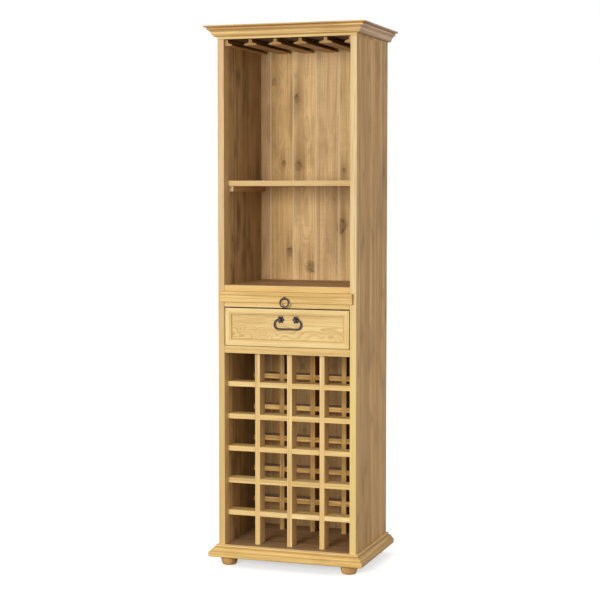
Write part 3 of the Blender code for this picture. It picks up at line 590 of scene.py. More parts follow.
def make_pine(name, tone, axes, pith=(0.0, 0.05), ring_width=0.0034, wander=0.018, stave_width=ONE_STAVE,
              contrast=0.5, figure=1.0, cloudy=0.35, lines=0.45, early=0.30, sawn=0.0, knots=(),
              shades=()):
    """A pine board.

    axes names its across, deep and along directions; knots are (across, along, radius, dark, rise);
    early is the part of each ring before the dark line starts; sawn is the strength of saw marks;
    shades are painted shade and painted light as (amount, colour, ramps), where a ramp is (direction, level of
    none, level of full).
    """
    material, tree, shader = new_material(name)
    place = grain_place(tree, axes)
    lift, hearts = 0.0, []
    for across, along, radius, dark, rise in knots:
        inputs = {"Place": place, "Across": across, "Along": along, "Radius": radius, "Rise": rise}
        knot = add_node(tree, "ShaderNodeGroup", inputs, node_tree=KNOT_GROUP).outputs
        lift = calc(tree, "ADD", lift, knot["Lift"])
        if dark:
            hearts.append((knot, dark))
    inputs = {
        "Place": place, "Seed": random.Random(name).uniform(*SEEDS), "Pith Across": pith[0],
        "Pith Deep": pith[1], "Ring Width": ring_width, "Wander": wander, "Stave Width": stave_width,
        "Lift": lift, "Early": early,
    }
    grain = add_node(tree, "ShaderNodeGroup", inputs, node_tree=GRAIN_GROUP).outputs
    ring = grain["Ring"]
    amounts = {
        "Band": BAND_AMOUNT * figure, "Streak": STREAK_AMOUNT * figure, "Cloud": cloudy, "Line": lines,
        "Fibre": FIBRE_AMOUNT, "Saw": sawn, "Stave": STAVE_AMOUNT if stave_width < ONE_STAVE else 0.0,
    }
    layers = [(times(tree, ring, contrast), tone.dark)]
    for label, start, full, part in GRAIN_LAYERS:
        if amounts[label]:
            value = saw_marks(tree, place) if label == "Saw" else grain[label]
            layers.append((ramp(tree, value, start, full, 0.0, amounts[label]), getattr(tone, part)))
    for knot, dark in hearts:
        streaky = ramp(tree, grain["Streak"], *KNOT_TAIL_RANGE, KNOT_TAIL_LEAST * dark, dark)
        layers.append((times(tree, knot["Tail"], streaky), tone.dark))
        layers.append((times(tree, knot["Heart"], dark), KNOT_HEART))
        layers.append((times(tree, knot["Rim"], dark), KNOT_RIM))
    # Wear and painted light from the mesh: paler above 0 for rubbed wear and painted highlights, darker below 0
    # for stains and painted shade
    wear_and_painted_light = add_node(tree, "ShaderNodeAttribute", attribute_name="wear_and_painted_light").outputs["Fac"]
    layers.append((times(tree, calc(tree, "MAXIMUM", wear_and_painted_light, 0.0), WORN_AND_HIGHLIGHT_AMOUNT), WORN_AND_HIGHLIGHT_TONE))
    layers.append((times(tree, calc(tree, "MINIMUM", wear_and_painted_light, 0.0), -STAIN_AND_SHADE_AMOUNT), STAIN_AND_SHADE_TONE))
    level = split(tree, place)
    # Painted shade and painted light, each brought in along its ramps
    for amount, shade_tone, ramps in shades:
        for direction, start, full in ramps:
            amount = times(tree, ramp(tree, level[direction], start, full), amount)
        layers.append((amount, shade_tone))
    colour = tone.light
    for amount, layer_tone in layers:
        colour = mix_colour(tree, amount, colour, layer_tone)
    height = calc(tree, "MULTIPLY_ADD", ring, RING_HEIGHT, grain["Fibre"])
    fill(tree, shader, {
        "Base Color": colour,
        "Roughness": ramp(tree, ring, 0, 1, *PINE_ROUGHNESS),
        "Specular IOR Level": PINE_SPECULAR,
        "Normal": add_node(tree, "ShaderNodeBump", {"Height": height, **PINE_BUMP}).outputs[0],
    })
    return material


# Iron

def make_iron(name):
    """Dark forged iron with a brown-violet cast and hammered dimples."""
    material, tree, shader = new_material(name)
    place = add_node(tree, "ShaderNodeTexCoord").outputs["Object"]
    patches = noise(tree, vector_calc(tree, "MULTIPLY", place, IRON_SCALE), IRON_DETAIL)
    dents = add_node(tree, "ShaderNodeTexVoronoi", {
        "Vector": vector_calc(tree, "MULTIPLY", place, DENT_SCALE), "Scale": 1.0,
    }, feature="SMOOTH_F1").outputs["Distance"]
    fill(tree, shader, {
        "Base Color": mix_colour(tree, ramp(tree, patches, *IRON_PATCHES), IRON_DARK, IRON_LIGHT),
        "Roughness": ramp(tree, patches, *IRON_ROUGHNESS),
        "Metallic": IRON_METALLIC,
        "Normal": add_node(tree, "ShaderNodeBump", {"Height": dents, **IRON_BUMP}).outputs[0],
    })
    return material


# Piece helpers

def faces_front(face):
    return face.normal.y < -LEANING


def faces_down(face):
    return face.normal.z < -SQUARE_ON


def faces_up(face):
    return face.normal.z > SQUARE_ON


def faces_sideways(face):
    return abs(face.normal.x) > SQUARE_ON


def level_of(face):
    return face.calc_center_median().z


def multiplied(colour, tint):
    return tuple(a * b for a, b in zip(colour, tint))


def tinted(tone, tint):
    """A tone with each of its colours multiplied by a tint."""
    return Tone(*(multiplied(colour, tint) for colour in tone))


def middle_of(node):
    low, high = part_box(node)
    return (low + high) / 2


def turns(count):
    """The angles of a full turn in equal steps."""
    return [math.tau * k / count for k in range(count)]


def with_wear_and_painted_light(bm):
    """The mesh with a face value for wear and painted light: above 0 paler, for rubbed wear and painted
    highlights; below 0 darker, for stains and painted shade.
    """
    if "wear_and_painted_light" not in bm.faces.layers.float:
        bm.faces.layers.float.new("wear_and_painted_light")
    return bm


def cad_bm(node):
    """The node's faces as one welded mesh, with each flat area in one face."""
    bm = bmesh.new()
    bm.from_mesh(frame["nodes"][node].data)
    bmesh.ops.remove_doubles(bm, verts=bm.verts, dist=WELD)
    bmesh.ops.dissolve_limit(bm, angle_limit=FLAT_ANGLE, verts=bm.verts, edges=bm.edges)
    return with_wear_and_painted_light(bm)


def ease_edges(bm, width, along=None):
    """Rounds the outer edges, or only those along one axis, and marks the new faces paler, as rubbed wear with a
    painted highlight.
    """
    layer = bm.faces.layers.float["wear_and_painted_light"]
    bm.normal_update()
    chosen = []
    for edge in bm.edges:
        if len(edge.link_faces) != 2 or edge.calc_face_angle() < SHARP_ANGLE or not edge.is_convex:
            continue
        direction = (edge.verts[1].co - edge.verts[0].co).normalized()
        if along is None or abs(direction["xyz".index(along)]) > SQUARE_ON:
            chosen.append(edge)
    made = bmesh.ops.bevel(bm, geom=chosen, offset=width, offset_type="OFFSET", segments=EASE_STEPS,
                           profile=EASE_ROUND, affect="EDGES", clamp_overlap=True)
    for face in made["faces"]:
        face[layer] = EDGE_WEAR_AND_HIGHLIGHT


def mark(bm, amount, test):
    """Sets the wear and painted light of the faces that pass a test."""
    layer = bm.faces.layers.float["wear_and_painted_light"]
    bm.normal_update()
    for face in bm.faces:
        if test(face):
            face[layer] = amount


def new_mesh(name, bm):
    """A mesh from a bm, which is freed."""
    mesh = bpy.data.meshes.new(name)
    bm.to_mesh(mesh)
    bm.free()
    return mesh


def add_object(name, data):
    """An object in the scene."""
    thing = bpy.data.objects.new(name, data)
    bpy.context.scene.collection.objects.link(thing)
    return thing


def add_piece(name, bm, node, *materials):
    """A visible piece that stands for one CAD node and moves with its body."""
    centre = middle_of(node)
    bmesh.ops.translate(bm, vec=-centre, verts=bm.verts)
    bmesh.ops.recalc_face_normals(bm, faces=bm.faces)
    mesh = new_mesh(name, bm)
    for material in materials:
        mesh.materials.append(material)
    mesh.shade_smooth()
    mesh.set_sharp_from_angle(angle=SMOOTH_ANGLE)
    piece = add_object(name, mesh)
    piece.location = centre
    piece.modifiers.new("even_normals", "WEIGHTED_NORMAL").keep_sharp = True
    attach(piece, BODY_OF[node])
    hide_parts(node)


def random_knots(name, across, along, count, radii, darkness):
    """Knots scattered over a half width across and a half length along."""
    draw = random.Random(name + " knots")
    knots = []
    for _ in range(count):
        place = draw.uniform(-across, across), draw.uniform(-along, along)
        knots.append((*place, draw.uniform(*radii), draw.uniform(*darkness), KNOT_RISE))
    return knots


def add_board(node, tone, axes, ease=EASE, along=None, faces=(), **look):
    """A CAD board with eased edges and pine grain.

    faces are (tone, test, look) for faces with a tone and look of their own.
    """
    bm = cad_bm(node)
    ease_edges(bm, ease, along)
    look["axes"] = axes
    woods = [make_pine(node + "_pine", tone, **look)]
    for index, (face_tone, test, face_look) in enumerate(faces, 1):
        woods.append(make_pine(f"{node}_pine_{index}", face_tone, **{**look, **face_look}))
        for face in bm.faces:
            if test(face):
                face.material_index = index
    add_piece(node + "_wood", bm, node, *woods)


def arc(centre, radii, start, end, steps=ARC_STEPS):
    """Points on an arc, angles in degrees; radii are two for an ellipse, one for a circle."""
    across, up = radii if isinstance(radii, tuple) else (radii, radii)
    points = []
    for step in range(steps + 1):
        angle = math.radians(start + (end - start) * step / steps)
        points.append((centre[0] + across * math.cos(angle), centre[1] + up * math.sin(angle)))
    return points


def bridge(bm, here, there):
    """Faces between two rings of corners with matching order."""
    faces = []
    for k in range(len(here)):
        after = (k + 1) % len(here)
        faces.append(bm.faces.new((here[k], here[after], there[after], there[k])))
    return faces


def skin(rings, closed=False):
    """A solid over rings of points with matching order, flat at both ends or closed on itself."""
    bm = with_wear_and_painted_light(bmesh.new())
    loops = [[bm.verts.new(point) for point in ring] for ring in rings]
    for here, there in zip(loops, loops[1:]):
        bridge(bm, here, there)
    if closed:
        bridge(bm, loops[-1], loops[0])
    else:
        bm.faces.new(loops[0])
        bm.faces.new(loops[-1])
    return bm


# Carcase

def rack_ramp(node):
    """Where painted shade comes in along an upright board, from the underside of the drawer deck down."""
    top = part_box("drawer_deck")[0].z - middle_of(node).z
    return ALONG, top, top - RACK_DEPTH


def add_sides():
    """Side panels; inside they get painted shade towards the back and in the bottle rack and painted light near
    the front, outside painted shade lower down, and their front edges painted light, paler high up and more golden
    lower down.
    """
    for node, inward in (("left_side_panel", 1), ("right_side_panel", -1)):
        centre = middle_of(node)
        tint = STILE_TINTS[node]
        knots = [(y - centre.y, z - centre.z, radius, dark, KNOT_RISE) for y, z, radius, dark in SIDE_KNOTS]
        knots += random_knots(node, *SIDE_SCATTER)
        inwards = (ACROSS, *WALL_DEPTHS)
        gold_ramp, low_ramp = [(ALONG, *(level - centre.z for level in levels))
                               for levels in (STILE_GOLD_LEVELS, SIDE_LOW_LEVELS)]
        # Inside, painted shade towards the back and in the bottle rack, and painted light near the front edge
        wall_shades = [
            (*WALL_SHADE, [inwards]),
            (*RACK_WALL_SHADE, [inwards, rack_ramp(node)]),
            (*WALL_FRONT_LIGHT, [(ACROSS, *WALL_FRONT_DEPTHS)]),
        ]
        # Painted light: the front edges paler high up and more golden lower down
        gold, gold_tone = STILE_GOLD_SHADE
        stile_shades = [(gold, multiplied(gold_tone, tint), [gold_ramp])]
        wall = (WALL, lambda face: face.normal.x * inward > SQUARE_ON, {**WALL_LOOK, "shades": wall_shades})
        stile = (tinted(STILE, tint), faces_front, {**STILE_LOOK, "shades": stile_shades})
        add_board(node, TAN, along="z", faces=[wall, stile], knots=knots,
                  shades=[(*SIDE_LOW_SHADE, [low_ramp])], **SIDE_LOOK)


def add_level_boards():
    """Level boards, their faces other than the front edges in a tone with painted shade for the inside, darker
    still on the bottom panel; the top panel has painted shade below, and its ends look like the sides.
    """
    edges = {"shelf": tinted(STILE, SHELF_TINT), "drawer_deck": tinted(EDGE, DRAWER_DECK_TINT)}
    for node in ("top_panel", "upper_floor", "serving_board_deck", "drawer_deck", "bottom_panel", "shelf"):
        tone, along = DEEP, None
        faces = [(edges.get(node, EDGE), faces_front, EDGE_LOOK)]
        if node == "top_panel":
            along = "x"
            faces += [(SHADE, faces_down, {}), (TAN, faces_sideways, {**SIDE_LOOK, "knots": ()})]
        elif node == "bottom_panel":
            tone = tinted(DEEP, BOTTOM_TINT)
        add_board(node, tone, "yzx", along=along, faces=faces, knots=random_knots(node, *LEVEL_SCATTER),
                  stave_width=STAVE_WIDTH)


def add_cleats():
    # Painted light on the sides of each cleat, and painted shade towards its back
    deeper = (*CLEAT_SHADE, [(ALONG, *CLEAT_DEPTHS)])
    for node in ("left_shelf_cleat", "right_shelf_cleat"):
        add_board(node, LIT_CLEAT_SIDE, "xzy", ease=SMALL_EASE, faces=[(CLEAT, faces_front, {})], shades=[deeper])


def add_back():
    """Tongued boards; their front edges are planed off shallow and painted paler than the faces as a highlight,
    and painted shade darkens them behind the bottle rack.
    """
    for k, tint in enumerate(BACK_TINTS, 1):
        node = f"back_board_{k}"
        low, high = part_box(node)
        centre = middle_of(node)
        bm = cad_bm(node)
        for vert in bm.verts:
            if low.y + WELD < vert.co.y < low.y + BACK_CHAMFER + WELD:
                vert.co.y = low.y + BACK_BEVEL_DEPTH
            elif vert.co.y < low.y + WELD:
                vert.co.x += math.copysign(BACK_BEVEL_WIDTH - BACK_CHAMFER, centre.x - vert.co.x)
        # Painted highlight on the planed edges
        mark(bm, BACK_EDGE_HIGHLIGHT, lambda face: abs(face.normal.x) > BEVELLED and face.normal.y < -BEVELLED)
        knots = [(x - centre.x, z - centre.z, radius, dark, KNOT_RISE) for x, z, radius, dark in BACK_KNOTS
                 if low.x - KNOT_OVERLAP < x < high.x + KNOT_OVERLAP]
        knots += random_knots(node, (high.x - low.x) / 2 * BACK_SCATTER_SHARE, *BACK_SCATTER)
        # Painted shade behind the bottle rack
        behind_rack = (*RACK_BACK_SHADE, [rack_ramp(node)])
        inner = make_pine(node + "_pine", tinted(BACK, tint), "xyz", knots=knots, shades=[behind_rack],
                          **BACK_LOOK)
        rear = make_pine(node + "_pine_rear", BACK, "xyz", knots=knots, **BACK_REAR_LOOK)
        for face in bm.faces:
            face.material_index = 1 if face.normal.y > MOSTLY else 0
        add_piece(node + "_wood", bm, node, inner, rear)


def add_rails():
    """Glass rails in a tone with painted shade; each front end gets painted shade and stain by its own amount, and
    the slots between them painted shade all alike.
    """
    for node, end_stain_and_shade in RAIL_END_STAIN_AND_SHADE.items():
        bm = cad_bm(node)
        ease_edges(bm, EASE)
        # Painted shade and stain on the front ends, painted shade in the slots
        mark(bm, end_stain_and_shade, faces_front)
        mark(bm, RAIL_SLOT_SHADE, lambda face: abs(face.normal.x) > MOSTLY or face.normal.z > MOSTLY)
        add_piece(node + "_wood", bm, node, make_pine(node + "_pine", BROWN, "xzy"))


# Mouldings and feet

def flattened(points, swell):
    """An arc drawn in towards its chord; swell is the share of its bulge that is left."""
    first, last = points[0], points[-1]
    result = []
    for k, point in enumerate(points):
        share = k / (len(points) - 1)
        chord = [start + (end - start) * share for start, end in zip(first, last)]
        result.append(tuple(flat + (full - flat) * swell for flat, full in zip(chord, point)))
    return result


def crown_profile(height, out):
    """(out, up) points: flat foot, shallow ovolo, slope, bead and top fillet."""
    fillet_low = height - CROWN_FILLET
    bead_up = fillet_low - CROWN_QUIRK - CROWN_BEAD
    bead_in = out - CROWN_OVERHANG - CROWN_BEAD
    ovolo_up = bead_up - CROWN_BEAD - CROWN_SLOPE_DOWN
    ovolo_depth = bead_in - CROWN_SLOPE_IN - CROWN_FOOT
    points = [(SEAT_GAP, 0)]
    points += flattened(arc((CROWN_FOOT, ovolo_up), (ovolo_depth, ovolo_up), -90, 0), CROWN_SWELL)
    points += arc((bead_in, bead_up), CROWN_BEAD, -90, 90)
    points += [(out - CROWN_FILLET_EASE, fillet_low), (out, fillet_low + CROWN_FILLET_EASE)]
    points += arc((out - SMALL_EASE, height - SMALL_EASE), SMALL_EASE, 0, 90, EASE_STEPS)
    return points + [(SEAT_GAP, height)]


def base_profile(height, out):
    """(out, up) points: round-edged plinth, shallow ovolo above it and a small bead on top."""
    nose_in = out - BASE_NOSE
    bead_up = height - BASE_BEAD
    ovolo_low = BASE_PLINTH + BASE_QUIRK
    ovolo_height = bead_up - BASE_BEAD - BASE_BEAD_QUIRK - ovolo_low
    ovolo_in = out - BASE_OVOLO_SETBACK - BASE_OVOLO_DEPTH
    points = [(SEAT_GAP, 0)]
    points += arc((nose_in, BASE_NOSE), BASE_NOSE, -90, 0)
    points += arc((nose_in, BASE_PLINTH - BASE_NOSE), BASE_NOSE, 0, 90)
    points += flattened(arc((ovolo_in, ovolo_low), (BASE_OVOLO_DEPTH, ovolo_height), 0, 90), BASE_SWELL)
    points += arc((ovolo_in - BASE_BEAD_SETBACK, bead_up), BASE_BEAD, -90, 90)
    return points + [(SEAT_GAP, height)]


def add_moulding(prefix, make_profile, marks, front_tone, side_tone, top_tone):
    """Three mitred lengths of moulding round the front and sides.

    marks are (from, to, amount) bands of height: painted shade in the quirks and hollows and along the bottom, and
    the top member rubbed pale with a painted highlight;
    side_tone is that of the side lengths, a tone with painted shade, and top_tone that of their level upper faces.
    """
    side_low, side_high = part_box("right_side_panel")
    half_width, front, back = side_high.x, side_low.y, side_high.y
    low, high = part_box(prefix + "_front")
    profile = make_profile(high.z - low.z, front - low.y)
    mitre_gap = math.sqrt(2) * SEAT_GAP

    def mitred_end(side, gap=0.0):
        return [(side * (half_width + out), front - out + gap, low.z + up) for out, up in profile]

    def square_end(side):
        return [(side * (half_width + out), back, low.z + up) for out, up in profile]

    lengths = [("_front", mitred_end(-1), mitred_end(1), "zyx", {"_pine": front_tone})]
    for suffix, side in (("_left", -1), ("_right", 1)):
        tones = {"_pine": side_tone, "_pine_top": top_tone}
        lengths.append((suffix, mitred_end(side, mitre_gap), square_end(side), "zxy", tones))
    for suffix, first, second, axes, tones in lengths:
        node = prefix + suffix
        bm = skin([first, second])
        bmesh.ops.recalc_face_normals(bm, faces=bm.faces)
        layer = bm.faces.layers.float["wear_and_painted_light"]
        for face in bm.faces:
            up = level_of(face) - low.z
            # Painted shade and painted highlights in bands of height
            for start, end, amount in marks:
                if len(face.verts) == 4 and start <= up < end:
                    face[layer] = amount
            if "_pine_top" in tones and faces_up(face):
                face.material_index = 1
        woods = [make_pine(node + ending, tone, axes, pith=MOULDING_PITH) for ending, tone in tones.items()]
        add_piece(node + "_wood", bm, node, *woods)


def foot_profile(height):
    """(radius, up) points: a flattened bun with a fine turned groove at the widest place."""
    points = arc((FOOT_TREAD, FOOT_RIM_LEVEL), (FOOT_RADIUS - FOOT_TREAD, FOOT_RIM_LEVEL), -90, 0)
    points += [(FOOT_RADIUS - FOOT_GROOVE, FOOT_RIM_LEVEL + FOOT_GROOVE), (FOOT_RADIUS, FOOT_GROOVE_TOP)]
    shoulder = (FOOT_RADIUS - FOOT_NECK, height - FOOT_GROOVE_TOP)
    return points + arc((FOOT_NECK, FOOT_GROOVE_TOP), shoulder, 0, 90)[1:]


def add_feet():
    for node in ("front_left_foot", "front_right_foot", "rear_left_foot", "rear_right_foot"):
        centre = middle_of(node)
        rings = [[(centre.x + radius * math.cos(angle), centre.y + radius * math.sin(angle), up)
                  for angle in turns(FOOT_SIDES)] for radius, up in foot_profile(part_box(node)[1].z)]
        bm = skin(rings)
        mark(bm, FOOT_GROOVE_DARKENING, lambda face: FOOT_RIM_LEVEL < level_of(face) < FOOT_GROOVE_TOP)
        add_piece(node + "_wood", bm, node, make_pine(node + "_pine", FOOT, "xyz"))


# Bottle lattice

def add_lattice():
    # Painted light on the sides of the front uprights; painted shade on the sides of the rear uprights and on the
    # tops of the rear slats
    front_uprights = [(LATTICE, faces_front, {}), (LIT_LATTICE_SIDE, faces_sideways, {})]
    front_slats = [(tinted(LATTICE, SLAT_TINT), faces_front, {})]
    rear_uprights = [(SHADED_REAR_SIDE, faces_sideways, {})]
    rear_slats = [(SHADED_REAR_TOP, faces_up, {})]
    for name, tone, upright_faces, slat_faces in (
        ("front_lattice", PALE, front_uprights, front_slats),
        ("rear_lattice", REAR, rear_uprights, rear_slats),
    ):
        for k in range(1, LATTICE_UPRIGHTS + 1):
            add_board(f"{name}_upright_{k}", tone, "xyz", ease=SMALL_EASE, along="z", faces=upright_faces)
        for k in range(1, LATTICE_SLATS + 1):
            add_board(f"{name}_cross_slat_{k}", tone, "zyx", ease=SMALL_EASE, along="x", faces=slat_faces)


# Serving board and drawer

def strip_profile(height, out):
    """(out, up) points: low flat, raised flat and rounded nose."""
    low_out = STRIP_FLAT_OUT - STRIP_STEP
    nose_low = height - STRIP_NOSE_HEIGHT
    points = [(0, 0)]
    points += arc((low_out - STRIP_EASE, STRIP_EASE), STRIP_EASE, -90, 0, SMALL_ARC_STEPS)
    points += [(low_out, STRIP_STEP_LEVEL)]
    points += arc((STRIP_FLAT_OUT, STRIP_STEP_LEVEL), (-STRIP_STEP, STRIP_STEP), 0, 90, SMALL_ARC_STEPS)[1:]
    points += [(STRIP_FLAT_OUT, nose_low)]
    nose_edge = (out - STRIP_EASE, nose_low + STRIP_EASE)
    points += arc(nose_edge, STRIP_EASE, -90, 0, SMALL_ARC_STEPS)
    nose_middle = (out - STRIP_NOSE_RADIUS, height - STRIP_NOSE_RADIUS)
    points += arc(nose_middle, STRIP_NOSE_RADIUS, 0, 90)
    return points + [(0, height)]


def add_serving_board():
    add_board("serving_board", GOLD, "yzx", stave_width=STAVE_WIDTH)
    node = "serving_board_strip"
    low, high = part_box(node)
    profile = strip_profile(high.z - low.z, high.y - low.y)
    bm = skin([[(x, high.y - out, low.z + up) for out, up in profile] for x in (low.x, high.x)])
    step, nose = low.z + STRIP_STEP_LEVEL, high.z - STRIP_NOSE_HEIGHT

    # Faces in the creases, which get painted shade
    def in_quirk(face):
        up = level_of(face)
        return abs(up - step) < STRIP_STEP_SHADE_REACH or abs(up - nose) < STRIP_NOSE_SHADE_REACH

    mark(bm, STRIP_CREASE_SHADE, in_quirk)
    add_piece(node + "_wood", bm, node, make_pine(node + "_pine", STRIP, "zyx"))


def drawer_front_steps():
    """(inset, depth) steps of the front: rounded edge, flat border, quirk, ovolo, fillet and sunk panel."""
    inner = DRAWER_BORDER + DRAWER_SLOPE
    fillet = DRAWER_RECESS - DRAWER_FILLET
    steps = arc((DRAWER_EASE, DRAWER_EASE), -DRAWER_EASE, 0, 90, SMALL_ARC_STEPS)
    steps += [(DRAWER_BORDER - DRAWER_ARRIS, 0), (DRAWER_BORDER, DRAWER_ARRIS), (DRAWER_BORDER, DRAWER_QUIRK)]
    ovolo = (DRAWER_SLOPE - DRAWER_FILLET, fillet - DRAWER_QUIRK)
    steps += arc((DRAWER_BORDER, fillet), ovolo, -90, 0)[1:]
    return steps + [(inner, fillet), (inner, DRAWER_RECESS)]


def drawer_front_bm():
    """The front with mitred border and moulding; faces take material 0 level, 1 upright or 2 panel."""
    low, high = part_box("drawer_front")
    bm = with_wear_and_painted_light(bmesh.new())
    layer = bm.faces.layers.float["wear_and_painted_light"]
    steps = [(0, high.y - low.y)] + drawer_front_steps()
    rings = []
    for inset, depth in steps:
        corners = ((low.x + inset, low.z + inset), (high.x - inset, low.z + inset),
                   (high.x - inset, high.z - inset), (low.x + inset, high.z - inset))
        rings.append([bm.verts.new((x, low.y + depth, z)) for x, z in corners])
    for (inset, depth), (next_inset, next_depth), *pair in zip(steps, steps[1:], rings, rings[1:]):
        middle = (inset + next_inset) / 2
        # Painted shade on the moulding, more on its steep faces; the eased edge paler, rubbed wear with a painted
        # highlight
        wear_and_painted_light = 0.0
        if middle >= DRAWER_BORDER:
            steep = abs(next_depth - depth) > abs(next_inset - inset)
            wear_and_painted_light = DRAWER_STEEP_SHADE if steep else DRAWER_SHALLOW_SHADE
        elif 0 < middle < DRAWER_EASE:
            wear_and_painted_light = EDGE_WEAR_AND_HIGHLIGHT
        for k, face in enumerate(bridge(bm, *pair)):
            face.material_index = k % 2
            face[layer] = wear_and_painted_light
    bm.faces.new(rings[0])
    bm.faces.new(rings[-1]).material_index = 2
    return bm


def add_drawer():
    node = "drawer_front"
    materials = [
        make_pine(node + "_rail_pine", PALE, "zyx", **DRAWER_LOOK),
        make_pine(node + "_stile_pine", PALE, "xyz", **DRAWER_LOOK),
        make_pine(node + "_panel_pine", PANEL, "zyx", knots=PANEL_SWIRLS, **PANEL_LOOK),
    ]
    add_piece(node + "_wood", drawer_front_bm(), node, *materials)
    for node in ("drawer_left_side", "drawer_right_side"):
        add_board(node, PALE, "zxy", ease=SMALL_EASE, along="y")
    add_board("drawer_back", PALE, "zyx", ease=SMALL_EASE)
    add_board("drawer_floor", PALE, "yzx", ease=SMALL_EASE)


# Ring and drawer pull

def tube(points, normals, radii, closed=False):
    """A round wire along points in the XZ plane; each normal lies in that plane across the wire."""
    rings = []
    for (x, y, z), (across, up), radius in zip(points, normals, radii):
        ring = []
        for angle in turns(WIRE_SIDES):
            out = radius * math.cos(angle)
            ring.append((x + across * out, y + radius * math.sin(angle), z + up * out))
        rings.append(ring)
    return skin(rings, closed)


def ring_bm():
    """The ring as a round wire with the faint unevenness of forging, strongest at the bottom."""
    low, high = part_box("ring")
    centre = (low + high) / 2
    wire = (high.y - low.y) / 2
    middle = (high.x - low.x) / 2 - wire
    points, normals, radii = [], [], []
    for angle in turns(RING_SEGMENTS):
        across, up = math.sin(angle), math.cos(angle)
        normals.append((across, up))
        points.append((centre.x + middle * across, centre.y, centre.z + middle * up))
        wave = (1 + math.sin(FORGED_WAVES * angle + FORGED_WAVE_START)) / 2
        radii.append(wire * (1 - FORGED_UNEVEN * wave * (1 - up) / 2))
    return tube(points, normals, radii, closed=True)


def bail_bm():
    """The bail: straight ends that turn in the posts, four bends and a grip that is slightly thicker."""
    low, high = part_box("bail")
    hinge = HINGES["bail_swing"]
    half_width = (high.x - low.x) / 2 - BAIL_SIDE_WIRE
    drop = hinge[2] - low.z - BAIL_GRIP_WIRE
    corner = half_width - BAIL_BEND
    points, normals = [(-BAIL_START, 0)], [(0, 1)]
    for centre, first, last in (((-corner, -BAIL_BEND), 90, 180), ((-corner, BAIL_BEND - drop), 180, 270),
                                ((corner, BAIL_BEND - drop), 270, 360), ((corner, -BAIL_BEND), 0, 90)):
        points += arc(centre, BAIL_BEND, first, last)
        normals += arc((0, 0), 1, first, last)
    points.append((BAIL_START, 0))
    normals.append((0, 1))
    radii = [BAIL_WIRE + (BAIL_GRIP_WIRE - BAIL_WIRE) * -z / drop for x, z in points]
    middle = (low.x + high.x) / 2
    return tube([(middle + x, hinge[1], hinge[2] + z) for x, z in points], normals, radii)


def rosette_bm(node):
    """A blossom of six domed petals round a post."""
    low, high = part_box(node)
    centre = (low + high) / 2
    reach = (high.x - low.x) / 2
    length = high.y - low.y
    rings = []

    def add_ring(radius_at, height_at):
        ring = []
        for angle in turns(ROSETTE_SEGMENTS):
            fullness = abs(math.cos(ROSETTE_PETALS / 2 * angle)) ** ROSETTE_ROUND
            radius = radius_at(fullness)
            across, up = radius * math.cos(angle), radius * math.sin(angle)
            ring.append((centre.x + across, high.y - height_at(fullness), centre.z + up))
        rings.append(ring)

    def petal(share):
        return lambda fullness: reach * (1 - ROSETTE_NOTCH * (1 - fullness) * share) * share

    def dome(share):
        top = ROSETTE_DOME * math.sqrt(1 - share * share)
        return lambda fullness: ROSETTE_EDGE + top * (ROSETTE_VALLEY + (1 - ROSETTE_VALLEY) * fullness)

    add_ring(petal(1.0), lambda fullness: 0)
    for share in ROSETTE_SHARES:
        add_ring(petal(share), dome(share))
    dish_top = ROSETTE_DISH_HEIGHT + ROSETTE_DISH
    post = [(POST_RADIUS + ROSETTE_DISH, ROSETTE_DISH_HEIGHT), (POST_RADIUS, dish_top)]
    post += arc((POST_RADIUS - POST_EASE, length - POST_EASE), POST_EASE, 0, 90, SMALL_ARC_STEPS)
    for radius, height in post:
        add_ring(lambda fullness: radius, lambda fullness: height)
    return skin(rings)


def bored(bm, cutter):
    """A mesh with a second mesh cut out of it."""
    holders = []
    for part in (bm, cutter):
        bmesh.ops.recalc_face_normals(part, faces=part.faces)
        holders.append(add_object("bore", new_mesh("bore", part)))
    body, tool = holders
    cut = body.modifiers.new("hole", "BOOLEAN")
    cut.operation = "DIFFERENCE"
    cut.solver = "EXACT"
    cut.object = tool
    graph = bpy.context.evaluated_depsgraph_get()
    result = bmesh.new()
    result.from_mesh(body.evaluated_get(graph).to_mesh())
    for holder in holders:
        mesh = holder.data
        bpy.data.objects.remove(holder)
        bpy.data.meshes.remove(mesh)
    return with_wear_and_painted_light(result)


def pin_bm(node, side):
    """The round space in a post for a bail end, as a cutter along X."""
    hinge = HINGES["bail_swing"]
    end = middle_of(node).x + side * (POST_RADIUS - BAIL_PIN)
    points = [(end, hinge[1], hinge[2]), (end + side * 2 * POST_RADIUS, hinge[1], hinge[2])]
    return tube(points, [(0, 1), (0, 1)], [BAIL_BORE, BAIL_BORE])


def add_hardware():
    eye = cad_bm("ring_eye")
    ease_edges(eye, EYE_EASE)
    shapes = {"ring_eye": eye, "ring": ring_bm(), "bail": bail_bm()}
    for node, side in (("left_rosette", -1), ("right_rosette", 1)):
        shapes[node] = bored(rosette_bm(node), pin_bm(node, side))
    for node, bm in shapes.items():
        add_piece(node + "_metal", bm, node, make_iron(node + "_iron"))


# Stage

def seen_directly(tree):
    """1 for rays that show the background: from the camera, or off a shiny surface."""
    path = add_node(tree, "ShaderNodeLightPath").outputs
    shiny = calc(tree, "MAXIMUM", path["Is Glossy Ray"], path["Is Transmission Ray"])
    return calc(tree, "MAXIMUM", path["Is Camera Ray"], shiny)


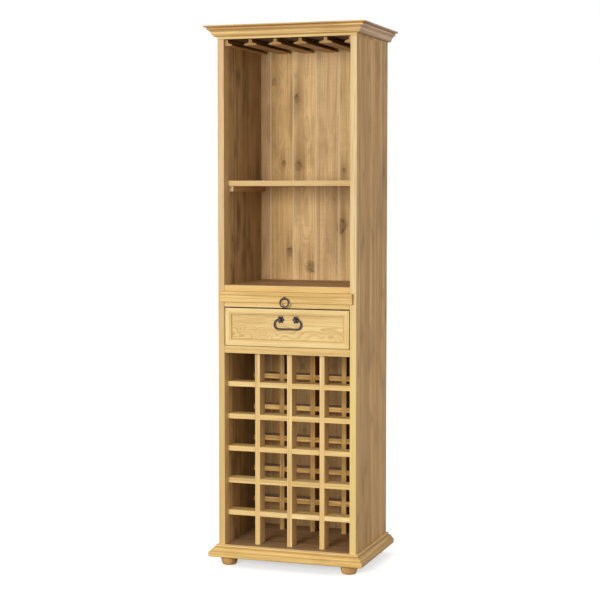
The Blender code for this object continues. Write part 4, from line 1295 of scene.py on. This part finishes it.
def add_stage():
    bm = bmesh.new()
    bmesh.ops.create_grid(bm, x_segments=1, y_segments=1, size=FLOOR_HALF)
    floor = add_object("floor", new_mesh("floor", bm))
    material, tree, _ = new_material("pale_floor")
    tree.nodes.clear()
    bounce, seen = [add_node(tree, "ShaderNodeBsdfDiffuse", {"Color": (*colour, 1)}).outputs[0]
                    for colour in (FLOOR_BOUNCE, FLOOR_SEEN)]
    place = add_node(tree, "ShaderNodeTexCoord").outputs["Object"]
    away = add_node(tree, "ShaderNodeVectorMath", {0: place}, operation="LENGTH").outputs["Value"]
    glow = {"Color": (1, 1, 1, 1), "Strength": ramp(tree, away, *FLOOR_GLOW)}
    lift = add_node(tree, "ShaderNodeEmission", glow).outputs[0]
    seen = add_node(tree, "ShaderNodeAddShader", {0: seen, 1: lift}).outputs[0]
    both = add_node(tree, "ShaderNodeMixShader", {0: seen_directly(tree), 1: bounce, 2: seen}).outputs[0]
    add_node(tree, "ShaderNodeOutputMaterial", {"Surface": both})
    floor.data.materials.append(material)


def add_lamp(name, place, size, power):
    light = bpy.data.lights.new(name, "AREA")
    light.energy = power
    light.size = size
    lamp = add_object(name, light)
    lamp.location = place
    lamp.rotation_euler = (Vector(LIGHT_AIM) - Vector(place)).to_track_quat("-Z", "Y").to_euler()


def add_light():
    """A broad lamp in front, a weaker one on either side towards the back, and an even sky."""
    add_lamp("key", KEY_PLACE, KEY_SIZE, KEY_POWER)
    for name, side in (("left_fill", -1), ("right_fill", 1)):
        add_lamp(name, (side * FILL_PLACE[0], *FILL_PLACE[1:]), FILL_SIZE, FILL_POWER)
    world = bpy.data.worlds.new("studio")
    world.use_nodes = True
    tree = world.node_tree
    strength = ramp(tree, seen_directly(tree), 0, 1, SKY_LEVEL)
    fill(tree, tree.nodes["Background"], {"Color": (1, 1, 1, 1), "Strength": strength})
    bpy.context.scene.world = world


def add_camera():
    data = bpy.data.cameras.new("camera")
    data.lens = CAMERA_LENS
    data.shift_y = CAMERA_SHIFT
    camera = add_object("camera", data)
    camera.location = CAMERA_PLACE
    camera.rotation_euler = (math.pi / 2 + CAMERA_TILT, 0, CAMERA_TURN)
    bpy.context.scene.camera = camera


add_sides()
add_level_boards()
add_cleats()
add_back()
add_rails()
add_moulding("crown", crown_profile, CROWN_MARKS, CROWN, SHADED_CROWN_SIDE, CROWN)
add_moulding("base", base_profile, BASE_MARKS, BASE, SHADED_BASE_SIDE, SHADED_BASE_SIDE)
add_feet()
add_lattice()
add_serving_board()
add_drawer()
add_hardware()
add_stage()
add_light()
add_camera()
bpy.context.scene.view_settings.view_transform = "Standard"
